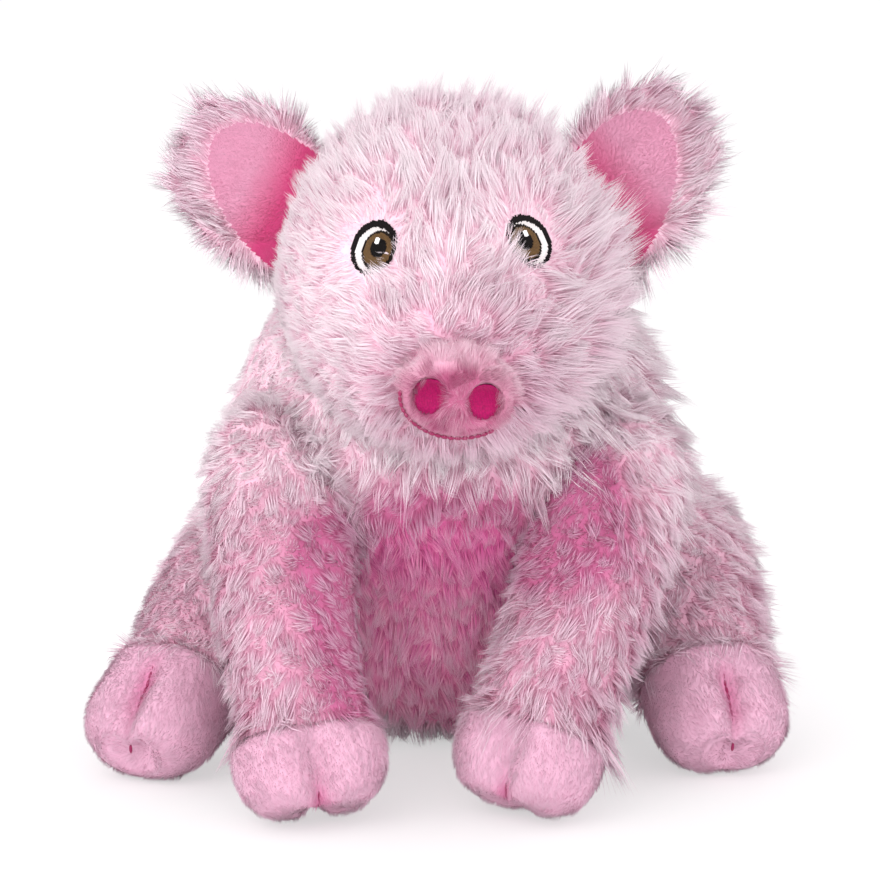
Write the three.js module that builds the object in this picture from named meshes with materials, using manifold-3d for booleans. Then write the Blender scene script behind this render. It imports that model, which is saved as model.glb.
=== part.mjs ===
// A seated plush pig, in millimetres, +Z up. It faces -Y, and its own left side is +X.
// The origin is the middle of the flat patch of its seat, on the surface that it sits on.
// Every soft piece is drawn at the middle of its pile: a cover is a shell as thick as its backing and pile,
// and the stuffing that rounds it out is a core inside. Covers meet at their seams with a small gap.
import * as THREE from "three";
import { mergeVertices } from "three/addons/utils/BufferGeometryUtils.js";
import Module from "manifold-3d";

const wasm = await Module();
wasm.setup();

// Driving dimensions of the body: a ball of chest and shoulders over a wide seat.
const shoulder_radius = 66;
const shoulder_height = 94;
const shoulder_forward = 28;
const seat_half_width = 67.5;
const rump_back = 52;
const seat_flat_depth = 0.5;

// Cloth, seams and clearances.
const pile_wall = 7;
const minky_wall = 2.5;
const seam_gap = 0.3;
const core_gap = 0.5;
const thread_radius = 0.8;

// Driving dimensions of the head, from its back to the front of the muzzle, and of the snout on it.
const head_half_width = 50;
const head_half_height = 49;
const head_back_forward = 24;
const head_back_height = 158;
const head_back_cap = 10;
const muzzle_half_width = 30;
const muzzle_half_height = 27;
const muzzle_forward = 114;
const muzzle_height = 126;
const muzzle_cap = 11;
const snout_half_width = 15.5;
const snout_half_height = 13.5;
const snout_proud = 5;
const snout_root = 6;
const snout_wall = 4.5;
const snout_round = 2.5;
const snout_aside = 2.4;
const snout_lift = 3;
const snout_roll = THREE.MathUtils.degToRad(-7);

// The ranges of the joints that the clearances follow, in degrees: the head nods, and the limbs, the ears
// and the tail flex at their seams.
const nod_up_limit = -8;
const nod_down_limit = 5;
const arm_back_limit = -5;
const arm_forward_limit = 15;
const leg_down_limit = -3;
const leg_up_limit = 15;
const ear_limit = 12;
const tail_limit = 15;

// Facets of the round forms.
const torso_sides = 22;
const head_sides = 20;
const limb_sides = 16;
const limb_steps = 6;
const cap_steps = 3;
const ear_sides = 14;
const ball_sides = 28;
const snout_sides = 18;
const eye_segments = 12;
const thread_sides = 6;

// The angle that the cleft of a hoof takes up, either side of its top, in radians.
const cleft_spread = 0.42;

const full_turn = 2 * Math.PI;
const right_angle = Math.PI / 2;
const up_axis = new THREE.Vector3(0, 0, 1);
const back_axis = new THREE.Vector3(0, 1, 0);
const side_axis = new THREE.Vector3(1, 0, 0);

const neck_pivot = new THREE.Vector3(0, -shoulder_forward, shoulder_height);
const chest_front = shoulder_forward + shoulder_radius;

// The reach of a cutting box: larger than the whole toy.
const toy_reach = 2 * (shoulder_height + shoulder_radius + head_half_height);

// A closed manifold solid from a three.js geometry.
function solidOf(geometry) {
  const bare = geometry.index ? geometry.toNonIndexed() : geometry.clone();
  for (const name of Object.keys(bare.attributes)) {
    if (name !== "position") bare.deleteAttribute(name);
  }
  const merged = mergeVertices(bare);
  return new wasm.Manifold(
    new wasm.Mesh({
      numProp: 3,
      vertProperties: merged.attributes.position.array,
      triVerts: new Uint32Array(merged.index.array),
    }),
  );
}

// A three.js geometry from a manifold solid.
function geometryOf(solid) {
  const mesh = solid.getMesh();
  const geometry = new THREE.BufferGeometry();
  geometry.setAttribute("position", new THREE.BufferAttribute(mesh.vertProperties, 3));
  geometry.setIndex(new THREE.BufferAttribute(mesh.triVerts, 1));
  geometry.computeVertexNormals();
  return geometry;
}

// One ring of a form: an ellipse on the side and up vectors, dipped at its top where a hoof is cloven.
function ringOf(centre, side, up, half_side, half_up, sides, dip = 0) {
  return Array.from({ length: sides }, (_, k) => {
    const angle = (k / sides) * full_turn;
    const from_top = Math.abs(Math.atan2(Math.cos(angle), Math.sin(angle)));
    const drawn_in = 1 - dip * Math.exp(-((from_top / cleft_spread) ** 2));
    return centre
      .clone()
      .addScaledVector(side, half_side * drawn_in * Math.cos(angle))
      .addScaledVector(up, half_up * drawn_in * Math.sin(angle));
  });
}

// A closed skin over rings that advance along side cross up, with a pole at each end.
function skinOf(rings, start, end) {
  const sides = rings[0].length;
  const points = [...rings.flat(), start, end];
  const first = points.length - 2;
  const last = points.length - 1;
  const index = [];
  for (let k = 0; k < sides; k += 1) {
    const next = (k + 1) % sides;
    index.push(first, next, k);
    for (let i = 0; i + 1 < rings.length; i += 1) {
      const here = i * sides;
      const there = here + sides;
      index.push(here + k, here + next, there + next);
      index.push(here + k, there + next, there + k);
    }
    const edge = (rings.length - 1) * sides;
    index.push(last, edge + k, edge + next);
  }
  const geometry = new THREE.BufferGeometry();
  geometry.setAttribute(
    "position",
    new THREE.Float32BufferAttribute(points.flatMap((p) => p.toArray()), 3),
  );
  geometry.setIndex(index);
  return geometry;
}

// Adds the rings of a domed end to a form, and returns its pole.
function domedRings(rings, centre, along, side, up, half_side, half_up, cap, steps, sides) {
  for (let i = 1; i < steps; i += 1) {
    const bend = (i / steps) * right_angle;
    const shrink = Math.sqrt(Math.cos(bend));
    const at = centre.clone().addScaledVector(along, cap * Math.sin(bend));
    rings.push(ringOf(at, side, up, half_side * shrink, half_up * shrink, sides));
  }
  return centre.clone().addScaledVector(along, cap);
}

// A smooth run of numbers through the values at evenly spaced stations.
function smoothRun(values) {
  const curve = new THREE.CatmullRomCurve3(values.map((v) => new THREE.Vector3(v, 0, 0)));
  return (share) => curve.getPoint(share).x;
}

// A box that holds everything on the far side of a plane.
function beyond(point, direction) {
  const box = new THREE.BoxGeometry(toy_reach, toy_reach, toy_reach);
  box.translate(0, 0, toy_reach / 2);
  box.applyQuaternion(
    new THREE.Quaternion().setFromUnitVectors(up_axis, direction.clone().normalize()),
  );
  box.translate(point.x, point.y, point.z);
  return solidOf(box);
}

const origin_point = new THREE.Vector3(0, 0, 0);
const under_floor = beyond(origin_point, up_axis.clone().negate());

// An ellipsoid of half sizes, turned by a quaternion and put at a centre.
function ellipsoid(centre, halves, turn, sides = ear_sides) {
  const ball = new THREE.SphereGeometry(1, sides, sides / 2);
  ball.scale(halves.x, halves.y, halves.z);
  ball.applyQuaternion(turn);
  ball.translate(centre.x, centre.y, centre.z);
  return solidOf(ball);
}

// A round thread along points, with flat ends.
function threadAlong(points, radius, steps) {
  const section = new THREE.Shape();
  for (let k = 0; k < thread_sides; k += 1) {
    const angle = (k / thread_sides) * full_turn;
    const x = radius * Math.cos(angle);
    const y = radius * Math.sin(angle);
    if (k === 0) section.moveTo(x, y);
    else section.lineTo(x, y);
  }
  const path = new THREE.CatmullRomCurve3(points);
  return new THREE.ExtrudeGeometry(section, { steps, extrudePath: path, bevelEnabled: false });
}

// Where a line from outside, through a point and along a direction, first meets a solid.
function surfaceOf(solid, through, direction) {
  const mesh = new THREE.Mesh(geometryOf(solid));
  const start = through.clone().addScaledVector(direction, -toy_reach);
  const hit = new THREE.Raycaster(start, direction).intersectObject(mesh)[0];
  return { point: hit.point, facing: hit.face.normal.clone() };
}

// The solids of a piece turned about a joint, at the given angles, joined into one sweep.
function sweptAbout(solid, pivot, axis, angles) {
  const geometry = geometryOf(solid);
  let sweep = null;
  for (const angle of angles) {
    const turned = geometry.clone();
    turned.translate(-pivot.x, -pivot.y, -pivot.z);
    turned.applyQuaternion(
      new THREE.Quaternion().setFromAxisAngle(axis, THREE.MathUtils.degToRad(angle)),
    );
    turned.translate(pivot.x, pivot.y, pivot.z);
    const copy = solidOf(turned);
    sweep = sweep ? sweep.add(copy) : copy;
  }
  return sweep;
}

const pig = new THREE.Group();

// Adds one named mesh, with the colour of its cloth or thread.
function addPiece(name, geometry, colour, roughness) {
  const material = new THREE.MeshStandardMaterial({ color: colour, roughness, metalness: 0 });
  const mesh = new THREE.Mesh(geometry, material);
  mesh.name = name;
  pig.add(mesh);
  return mesh;
}

const fur_pink = 0xe4bdcc;
const belly_rose = 0xb3688a;
const minky_pink = 0xebb9d0;
const lining_pink = 0xe299b5;
const snout_mauve = 0xb96b89;
const nostril_magenta = 0xb4326a;
const seam_rose = 0xa6476e;
const filling_white = 0xf4f2ee;
const pile_roughness = 0.95;
const minky_roughness = 0.85;
const thread_roughness = 0.45;

// Torso: rings from the seat up to the shoulder ball, then the ball itself to its top.
// The shares are of the shoulder height, the seat's half width, the chest's front and the rump's back.
const torso_height_shares = [0.003, 0.025, 0.075, 0.16, 0.28, 0.45, 0.62, 0.81];
const torso_width_shares = [0.38, 0.58, 0.72, 0.85, 0.94, 0.99, 1, 0.995];
const torso_front_shares = [0.22, 0.35, 0.45, 0.55, 0.63, 0.7, 0.8, 0.93];
const torso_back_shares = [0.42, 0.62, 0.78, 0.9, 0.98, 1, 0.95, 0.84];
const ball_rings = 5;

function torsoForm(grow) {
  const squat = 1 + grow / shoulder_height;
  const rings = torso_width_shares.map((width_share, i) => {
    const front = -chest_front * torso_front_shares[i];
    const back = rump_back * torso_back_shares[i];
    const below = shoulder_height * (1 - torso_height_shares[i]) * squat;
    const centre = new THREE.Vector3(0, (front + back) / 2, shoulder_height - below);
    const half_width = seat_half_width * width_share + grow;
    return ringOf(centre, side_axis, back_axis, half_width, (back - front) / 2 + grow, torso_sides);
  });
  const radius = shoulder_radius + grow;
  for (let i = 0; i < ball_rings; i += 1) {
    const rise = (i / ball_rings) * right_angle;
    const centre = neck_pivot.clone().addScaledVector(up_axis, radius * Math.sin(rise));
    const half = radius * Math.cos(rise);
    rings.push(ringOf(centre, side_axis, back_axis, half, half, torso_sides));
  }
  const seat = new THREE.Vector3(0, 0, shoulder_height * (1 - squat) - seat_flat_depth);
  const top = neck_pivot.clone().addScaledVector(up_axis, radius);
  return solidOf(skinOf(rings, seat, top));
}

// The neck is a plug of stuffing about the axis that the head turns on. Its ends are round about the pivot.
const neck_radius = 15;
const neck_lean = THREE.MathUtils.degToRad(20);
const neck_plug_length = 26;
const neck_ring_count = 5;
const neck_axis = new THREE.Vector3(0, -Math.sin(neck_lean), Math.cos(neck_lean));

function neckForm(grow, room_aside = 0) {
  const low = shoulder_radius - neck_plug_length / 2 - grow;
  const high = shoulder_radius + neck_plug_length / 2 + grow;
  const radius = neck_radius + grow + room_aside;
  const profile = [];
  for (let i = 0; i <= neck_ring_count; i += 1) {
    const r = (i / neck_ring_count) * radius;
    profile.push(new THREE.Vector2(r, Math.sqrt(low ** 2 - r ** 2)));
  }
  for (let i = neck_ring_count; i >= 0; i -= 1) {
    const r = (i / neck_ring_count) * radius;
    profile.push(new THREE.Vector2(r, Math.sqrt(high ** 2 - r ** 2)));
  }
  const plug = new THREE.LatheGeometry(profile, limb_sides);
  plug.applyQuaternion(
    new THREE.Quaternion().setFromUnitVectors(back_axis, neck_axis),
  );
  plug.translate(neck_pivot.x, neck_pivot.y, neck_pivot.z);
  return solidOf(plug);
}

// The ball that the head rides on, with room for the facets of the shoulders as the head turns.
const facet_sag = shoulder_radius * (1 - Math.cos(Math.PI / torso_sides));
const shoulder_seat = ellipsoid(
  neck_pivot,
  new THREE.Vector3(1, 1, 1).multiplyScalar(shoulder_radius + seam_gap + facet_sag),
  new THREE.Quaternion().setFromAxisAngle(side_axis, right_angle),
  ball_sides,
);

const torso_solid = torsoForm(0).subtract(under_floor);
const torso_clear = torsoForm(seam_gap);
const torso_core = torsoForm(-pile_wall - seam_gap);
const torso_shell = torso_solid.subtract(torsoForm(-pile_wall)).subtract(neckForm(seam_gap));

// An oval prism that cuts a panel out of the shell.
const panel_sides = 24;

function ovalPrism(half_width, half_height, depth) {
  const oval = new THREE.Shape();
  oval.absellipse(0, 0, half_width, half_height, 0, full_turn);
  return new THREE.ExtrudeGeometry(oval, {
    depth,
    bevelEnabled: false,
    curveSegments: panel_sides / 2,
  });
}

// Belly panel: an oval of short pile let into the front, between the arms.
const belly_half_width = 37;
const belly_low = 9;
const belly_high = 80;
const belly_back = 25;

function bellyCutter(grow) {
  const half_height = (belly_high - belly_low) / 2;
  const prism = ovalPrism(belly_half_width + grow, half_height + grow, chest_front);
  prism.rotateX(right_angle);
  prism.translate(0, -belly_back, (belly_high + belly_low) / 2);
  return solidOf(prism);
}

// Seat panel: the oval base that the toy sits on.
const seat_panel_half_width = 33;
const seat_panel_half_depth = 22;
const seat_panel_height = 2 * pile_wall;

function seatCutter(grow) {
  const prism = ovalPrism(
    seat_panel_half_width + grow,
    seat_panel_half_depth + grow,
    2 * seat_panel_height,
  );
  prism.translate(0, 0, -seat_panel_height);
  return solidOf(prism);
}

// The seam that halves the cover runs down the middle of the back.
const half_gap = seam_gap / 2;
const left_half = beyond(new THREE.Vector3(half_gap, 0, 0), side_axis);
const right_half = beyond(new THREE.Vector3(-half_gap, 0, 0), side_axis.clone().negate());
const torso_fur = torso_shell.subtract(bellyCutter(seam_gap)).subtract(seatCutter(seam_gap));

addPiece("torso_cover_left", geometryOf(torso_fur.intersect(left_half)), fur_pink, pile_roughness);
addPiece("torso_cover_right", geometryOf(torso_fur.intersect(right_half)), fur_pink, pile_roughness);
addPiece(
  "belly_panel",
  geometryOf(torso_shell.intersect(bellyCutter(0))),
  belly_rose,
  pile_roughness,
);
addPiece(
  "seat_panel",
  geometryOf(torso_shell.intersect(seatCutter(0))),
  fur_pink,
  pile_roughness,
);
addPiece(
  "torso_stuffing",
  geometryOf(torso_core.subtract(neckForm(seam_gap))),
  filling_white,
  pile_roughness,
);
addPiece("neck_stuffing", geometryOf(neckForm(0)), filling_white, pile_roughness);

// Limbs. A limb is one form from inside the torso to its cloven hoof: a fur sleeve, a hoof of short pile
// sewn on at the wrist or ankle, the stuffing, and a thread that draws the cleft in.
const cleft_dip_shares = [0, 0.08, 0.2];
const cap_pull_share = 0.16;
const cleft_ring_count = 3;

const arm_half_width = 25;
const arm_wrist_half_width = 21;
const arm_half_depth = 24;
const hoof_half_width = 22;
const hoof_half_depth = 18.5;
const hoof_cap = 16;
const arm_seat_depth = 9;
const arm_out = THREE.MathUtils.degToRad(55);
const arm_rise = THREE.MathUtils.degToRad(-4);
const arm_root_length = 15;
const arm_bow = 5;

const leg_half_width = 35;
const leg_half_depth = 37;
const leg_ankle_half_width = 22;
const foot_half_width = 21;
const foot_half_depth = 17.5;
const foot_cap = 17;
const hip_height = 47;
const leg_root_length = 20;
const leg_bow = 3;
const root_cap = 9;
const root_width_share = 0.74;
const knee_share = 0.42;
const wrist_station_share = 0.76;
const arm_seam_share = 0.92;
const leg_seam_share = 0.8;

// The hips keep to the sides of the seat, and the feet splay out from them.
const leg_right_hip_share = 0.73;
const leg_left_hip_share = 0.889;
const leg_right_splay = 35;
const leg_left_splay = 19;

// Where each hoof rests: aside from the middle and forward of the seat's middle.
const arm_right_hoof_aside = 38;
const arm_right_hoof_forward = 113;
const arm_left_hoof_aside = 23;
const arm_left_hoof_forward = 107;
const leg_right_foot_forward = 64;
const leg_left_foot_forward = 58;
const limbs = [
  {
    name: "arm_right",
    side: -1,
    foot_aside: arm_right_hoof_aside,
    foot_forward: arm_right_hoof_forward,
    hoof: "hoof",
  },
  {
    name: "arm_left",
    side: 1,
    foot_aside: arm_left_hoof_aside,
    foot_forward: arm_left_hoof_forward,
    hoof: "hoof",
  },
  {
    name: "leg_right",
    side: -1,
    hip_aside: seat_half_width * leg_right_hip_share,
    foot_aside: seat_half_width * leg_right_hip_share + leg_right_splay,
    foot_forward: leg_right_foot_forward,
    hoof: "foot",
  },
  {
    name: "leg_left",
    side: 1,
    hip_aside: seat_half_width * leg_left_hip_share,
    foot_aside: seat_half_width * leg_left_hip_share + leg_left_splay,
    foot_forward: leg_left_foot_forward,
    hoof: "foot",
  },
];

// The angles at which a limb is kept clear of the torso: its rest, its two limits and steps between them.
const limb_clear_steps = 4;

function anglesBetween(low, high) {
  const steps = Array.from({ length: limb_clear_steps }, (_, i) => (high * (i + 1)) / limb_clear_steps);
  return [low, low / 2, 0, ...steps];
}

// The stations of an arm: behind the shoulder seam, the shoulder, the elbow, the wrist and the hoof.
function armStations(limb) {
  const out = new THREE.Vector3(
    limb.side * Math.sin(arm_out) * Math.cos(arm_rise),
    -Math.cos(arm_out) * Math.cos(arm_rise),
    Math.sin(arm_rise),
  );
  const pivot = neck_pivot.clone().addScaledVector(out, shoulder_radius - arm_seat_depth);
  const tip = new THREE.Vector3(limb.side * limb.foot_aside, -limb.foot_forward, hoof_half_depth);
  const bow = new THREE.Vector3(limb.side, -1, 1).normalize().multiplyScalar(arm_bow);
  return {
    pivot,
    swing: side_axis.clone().negate(),
    angles: anglesBetween(arm_back_limit, arm_forward_limit),
    spine: spineBetween(arm_root_length, pivot, tip, bow),
    widths: [
      arm_half_width * root_width_share,
      arm_half_width,
      (arm_half_width + arm_wrist_half_width) / 2,
      arm_wrist_half_width,
      hoof_half_width,
    ],
    depths: [
      arm_half_depth * root_width_share,
      arm_half_depth,
      (arm_half_depth + hoof_half_depth) / 2,
      hoof_half_depth,
      hoof_half_depth,
    ],
    cap: hoof_cap,
    seam_share: arm_seam_share,
  };
}

// The stations of a hind leg: behind the hip, the hip, the knee, the ankle and the foot.
function legStations(limb) {
  const pivot = new THREE.Vector3(limb.side * limb.hip_aside, 0, hip_height);
  const tip = new THREE.Vector3(limb.side * limb.foot_aside, -limb.foot_forward, foot_half_depth);
  const bow = new THREE.Vector3(limb.side, 0, 1).normalize().multiplyScalar(leg_bow);
  return {
    pivot,
    swing: side_axis.clone().negate(),
    angles: anglesBetween(leg_down_limit, leg_up_limit),
    spine: spineBetween(leg_root_length, pivot, tip, bow),
    widths: [
      leg_half_width * root_width_share,
      leg_half_width,
      (leg_half_width + leg_ankle_half_width) / 2,
      leg_ankle_half_width,
      foot_half_width,
    ],
    depths: [
      leg_half_depth * root_width_share,
      leg_half_depth,
      (leg_half_depth + foot_half_depth) / 2,
      (leg_ankle_half_width + foot_half_depth) / 2,
      foot_half_depth,
    ],
    cap: foot_cap,
    seam_share: leg_seam_share,
  };
}

// The line down the middle of a limb, bowed a little at its knee and its wrist.
function spineBetween(root_length, pivot, tip, bow) {
  const knee = pivot.clone().lerp(tip, knee_share).add(bow);
  const wrist = pivot.clone().lerp(tip, wrist_station_share).addScaledVector(bow, 1 - knee_share);
  const root = pivot.clone().addScaledVector(knee.clone().sub(pivot).normalize(), -root_length);
  return [root, pivot, knee, wrist, tip];
}

// The whole form of a limb, grown or shrunk all round.
function limbForm(stations, grow) {
  const spine = new THREE.CatmullRomCurve3(stations.spine);
  const width = smoothRun(stations.widths);
  const depth = smoothRun(stations.depths);
  const rings = [];
  let side = null;
  let up = null;
  let along = null;
  for (let i = 0; i <= limb_steps; i += 1) {
    const share = i / limb_steps;
    along = spine.getTangent(share);
    side = stations.side_vector.clone();
    side.addScaledVector(along, -side.dot(along)).normalize();
    up = new THREE.Vector3().crossVectors(along, side);
    const past_wrist = Math.max(share - wrist_station_share, 0);
    const dip = cleft_dip_shares[1] * past_wrist;
    rings.push(
      ringOf(spine.getPoint(share), side, up, width(share) + grow, depth(share) + grow, limb_sides, dip),
    );
  }
  const tip = spine.getPoint(1);
  const cap = stations.cap + grow;
  for (let i = 1; i < cap_steps; i += 1) {
    const bend = (i / cap_steps) * right_angle;
    const centre = tip.clone().addScaledVector(along, cap * Math.sin(bend));
    const shrink = Math.sqrt(Math.cos(bend));
    const dip = cleft_dip_shares[1] + ((cleft_dip_shares[2] - cleft_dip_shares[1]) * i) / cap_steps;
    rings.push(
      ringOf(
        centre,
        side,
        up,
        (width(1) + grow) * shrink,
        (depth(1) + grow) * shrink,
        limb_sides,
        dip,
      ),
    );
  }
  // A core keeps a rounder tip than its cover, so that the cleft stays in the cover.
  const pull = grow < 0 ? 0 : cap_pull_share;
  const pole = tip.clone().addScaledVector(along, cap * (1 - pull));
  const root = spine.getPoint(0).addScaledVector(spine.getTangent(0), -root_cap - grow);
  return { solid: solidOf(skinOf(rings, root, pole)), rings, spine };
}

for (const limb of limbs) {
  const stations = limb.hoof === "hoof" ? armStations(limb) : legStations(limb);
  const reach = stations.spine[4].clone().sub(stations.spine[1]);
  stations.side_vector = new THREE.Vector3().crossVectors(up_axis, reach).normalize();
  const outer = limbForm(stations, 0);
  const fur_hollow = limbForm(stations, -pile_wall).solid;
  const minky_hollow = limbForm(stations, -minky_wall).solid;
  const core = limbForm(stations, -pile_wall - core_gap).solid;
  const torso_sweep = sweptAbout(
    torso_clear,
    stations.pivot,
    stations.swing.clone().negate(),
    stations.angles,
  );
  const seam_point = outer.spine.getPoint(stations.seam_share);
  const seam_along = outer.spine.getTangent(stations.seam_share);
  const hoof_side = beyond(seam_point, seam_along);
  const sleeve_end = beyond(seam_point.clone().addScaledVector(seam_along, -seam_gap), seam_along);
  const shell = outer.solid.subtract(under_floor).subtract(torso_sweep);
  const sleeve = shell.subtract(fur_hollow).subtract(sleeve_end);
  const hoof = outer.solid.subtract(under_floor).intersect(hoof_side).subtract(minky_hollow);
  const filling = core.subtract(torso_sweep).subtract(under_floor);
  addPiece(limb.name + "_sleeve", geometryOf(sleeve), fur_pink, pile_roughness);
  addPiece(limb.name + "_" + limb.hoof, geometryOf(hoof), minky_pink, minky_roughness);
  addPiece(limb.name + "_stuffing", geometryOf(filling), filling_white, pile_roughness);
  const cleft = outer.rings.slice(-cleft_ring_count).map((ring) => {
    const middle = ring.reduce((sum, p) => sum.add(p), new THREE.Vector3());
    middle.divideScalar(limb_sides);
    const top = ring[limb_sides / 4];
    return top.clone().addScaledVector(top.clone().sub(middle).normalize(), thread_radius + core_gap);
  });
  const stitch = threadAlong(cleft, thread_radius, 2 * cleft_ring_count);
  addPiece(limb.name + "_cleft_thread", stitch, seam_rose, thread_roughness);
}

// Closing seam: the ladder stitching that shuts the back once the toy is filled.
const closing_low = 36;
const closing_high = 68;
const closing_stitches = 5;
const closing_points = Array.from({ length: closing_stitches + 1 }, (_, i) => {
  const height = THREE.MathUtils.lerp(closing_low, closing_high, i / closing_stitches);
  const through = new THREE.Vector3(0, 0, height);
  const seat = surfaceOf(torso_clear, through, back_axis.clone().negate());
  return seat.point.addScaledVector(back_axis, thread_radius);
});
addPiece(
  "closing_seam",
  threadAlong(closing_points, thread_radius, 2 * closing_stitches),
  seam_rose,
  thread_roughness,
);

// Tail: a short tube of pile that curls once, tapering from its root on the rump.
const tail_height = 76;
const tail_root_radius = 4.5;
const tail_tip_radius = 2.8;
const tail_curl_radius = 7;
const tail_reach = 15;
const tail_turns = 1.1;
const tail_steps = 16;
const tail_sides = 8;
const tail_spread = THREE.MathUtils.degToRad(tail_limit);

const tail_seat = surfaceOf(
  torso_clear,
  new THREE.Vector3(0, 0, tail_height),
  back_axis.clone().negate(),
);
const tail_pivot = tail_seat.point
  .clone()
  .addScaledVector(back_axis, tail_root_radius / Math.cos(tail_spread));

function tailForm() {
  const points = [];
  for (let i = 0; i <= tail_steps; i += 1) {
    const share = i / tail_steps;
    const turn = share * tail_turns * full_turn;
    points.push(
      new THREE.Vector3(
        tail_curl_radius * Math.sin(turn),
        tail_reach * share,
        tail_curl_radius * (1 - Math.cos(turn)),
      ).add(tail_pivot),
    );
  }
  const path = new THREE.CatmullRomCurve3(points);
  const rings = [];
  let along = null;
  let side = null;
  let up = null;
  let radius = tail_root_radius;
  for (let i = 0; i <= tail_steps; i += 1) {
    const share = i / tail_steps;
    along = path.getTangent(share);
    side = back_axis.clone().addScaledVector(along, -back_axis.dot(along)).normalize();
    up = new THREE.Vector3().crossVectors(along, side);
    radius = THREE.MathUtils.lerp(tail_root_radius, tail_tip_radius, share);
    rings.push(ringOf(points[i], side, up, radius, radius, tail_sides));
  }
  const start_along = path.getTangent(0);
  const start = points[0].clone().addScaledVector(start_along, -tail_root_radius / 2);
  const end = domedRings(
    rings,
    points[tail_steps],
    along,
    side,
    up,
    radius,
    radius,
    radius,
    cap_steps,
    tail_sides,
  );
  return solidOf(skinOf(rings, start, end));
}

addPiece("tail_cover", geometryOf(tailForm()), minky_pink, minky_roughness);

// Head: rings from the back of the skull to the muzzle. The first shares run along the line between them,
// the others are of the head's half width and half height.
const head_place_shares = [0, 0.22, 0.5, 0.74, 0.9, 1];
const head_sink_shares = [0, 0.1, 0.34, 0.62, 0.86, 1];
const head_width_shares = [0.64, 0.9, 1, 0.92, 0.76];
const head_height_shares = [0.6, 0.92, 1, 0.9, 0.74];
const head_back_dip_share = 0.3;
const head_back_step_share = 0.75;

function headForm(grow) {
  const last = head_place_shares.length - 1;
  const centres = head_place_shares.map((share, i) => {
    const sink = head_sink_shares[i];
    return new THREE.Vector3(
      0,
      -THREE.MathUtils.lerp(head_back_forward, muzzle_forward, share),
      THREE.MathUtils.lerp(head_back_height, muzzle_height, sink),
    );
  });
  const spine = new THREE.CatmullRomCurve3(centres);
  const rings = [];
  let along = null;
  let up = null;
  for (let i = 0; i <= last; i += 1) {
    along = spine.getTangent(i / last);
    up = new THREE.Vector3().crossVectors(along, side_axis);
    const half_width = i === last ? muzzle_half_width : head_half_width * head_width_shares[i];
    const half_height = i === last ? muzzle_half_height : head_half_height * head_height_shares[i];
    rings.push(ringOf(centres[i], side_axis, up, half_width + grow, half_height + grow, head_sides));
  }
  const back_along = spine.getTangent(0);
  const back = centres[0].clone().addScaledVector(back_along, -head_back_cap - grow);
  const back_bend = centres[0]
    .clone()
    .addScaledVector(back_along, -(head_back_cap + grow) * head_back_step_share);
  const back_up = new THREE.Vector3().crossVectors(back_along, side_axis);
  rings.unshift(
    ringOf(
      back_bend,
      side_axis,
      back_up,
      (head_half_width * head_width_shares[0] + grow) * (1 - head_back_dip_share),
      (head_half_height * head_height_shares[0] + grow) * (1 - head_back_dip_share),
      head_sides,
    ),
  );
  const front = domedRings(
    rings,
    centres[last],
    along,
    side_axis,
    up,
    muzzle_half_width + grow,
    muzzle_half_height + grow,
    muzzle_cap + grow,
    cap_steps,
    head_sides,
  );
  return { solid: solidOf(skinOf(rings, back, front)), front, along, up };
}

const head_form = headForm(0);
const head_hollow = headForm(-pile_wall).solid;
const head_core = headForm(-pile_wall - core_gap).solid;

// Snout: an oval drum of short pile let into the front of the muzzle, turned a little on its axis.
const snout_turn = new THREE.Quaternion().setFromAxisAngle(head_form.along, snout_roll);
const snout_side = side_axis.clone().applyQuaternion(snout_turn);
const snout_up = head_form.up.clone().applyQuaternion(snout_turn);
const snout_front = head_form.front
  .clone()
  .addScaledVector(side_axis, snout_aside)
  .addScaledVector(snout_up, snout_lift)
  .addScaledVector(head_form.along, snout_proud - snout_round);

function snoutForm(grow, root) {
  const start = snout_front.clone().addScaledVector(head_form.along, -root);
  const half_width = snout_half_width + grow;
  const half_height = snout_half_height + grow;
  const rings = [
    ringOf(start, snout_side, snout_up, half_width, half_height, snout_sides),
    ringOf(snout_front, snout_side, snout_up, half_width, half_height, snout_sides),
  ];
  const tip = domedRings(
    rings,
    snout_front,
    head_form.along,
    snout_side,
    snout_up,
    half_width,
    half_height,
    snout_round + grow,
    cap_steps,
    snout_sides,
  );
  return solidOf(skinOf(rings, start, tip));
}

// Nostrils: two pits in the drum, each with a satin patch of thread at its bottom.
const nostril_half_width = 4.4;
const nostril_half_height = 5.7;
const nostril_depth = 3.4;
const nostril_spread = 7.4;
const nostril_patch_depth = 1.4;
const snout_face = snout_front.clone().addScaledVector(head_form.along, snout_round);
const snout_frame = new THREE.Quaternion().setFromRotationMatrix(
  new THREE.Matrix4().makeBasis(snout_side, snout_up, head_form.along),
);

function nostrilForm(side, grow) {
  const centre = snout_face.clone().addScaledVector(snout_side, side * nostril_spread);
  const halves = new THREE.Vector3(
    nostril_half_width + grow,
    nostril_half_height + grow,
    nostril_depth + grow,
  );
  return ellipsoid(centre, halves, snout_frame);
}

const snout_root_depth = snout_root + snout_wall;
const snout_drum = snoutForm(0, snout_root_depth);
const snout_hollow = snoutForm(-snout_wall, toy_reach);
let snout_panel = snout_drum.subtract(snout_hollow);
const patch_plane = snout_face.clone().addScaledVector(head_form.along, -nostril_patch_depth);
for (const side of [-1, 1]) {
  snout_panel = snout_panel.subtract(nostrilForm(side, 0));
  const patch = nostrilForm(side, -seam_gap).intersect(
    beyond(patch_plane, head_form.along.clone().negate()),
  );
  const name = side < 0 ? "nostril_right" : "nostril_left";
  addPiece(name, geometryOf(patch), nostril_magenta, thread_roughness);
}
addPiece("snout_panel", geometryOf(snout_panel), snout_mauve, minky_roughness);

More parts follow.
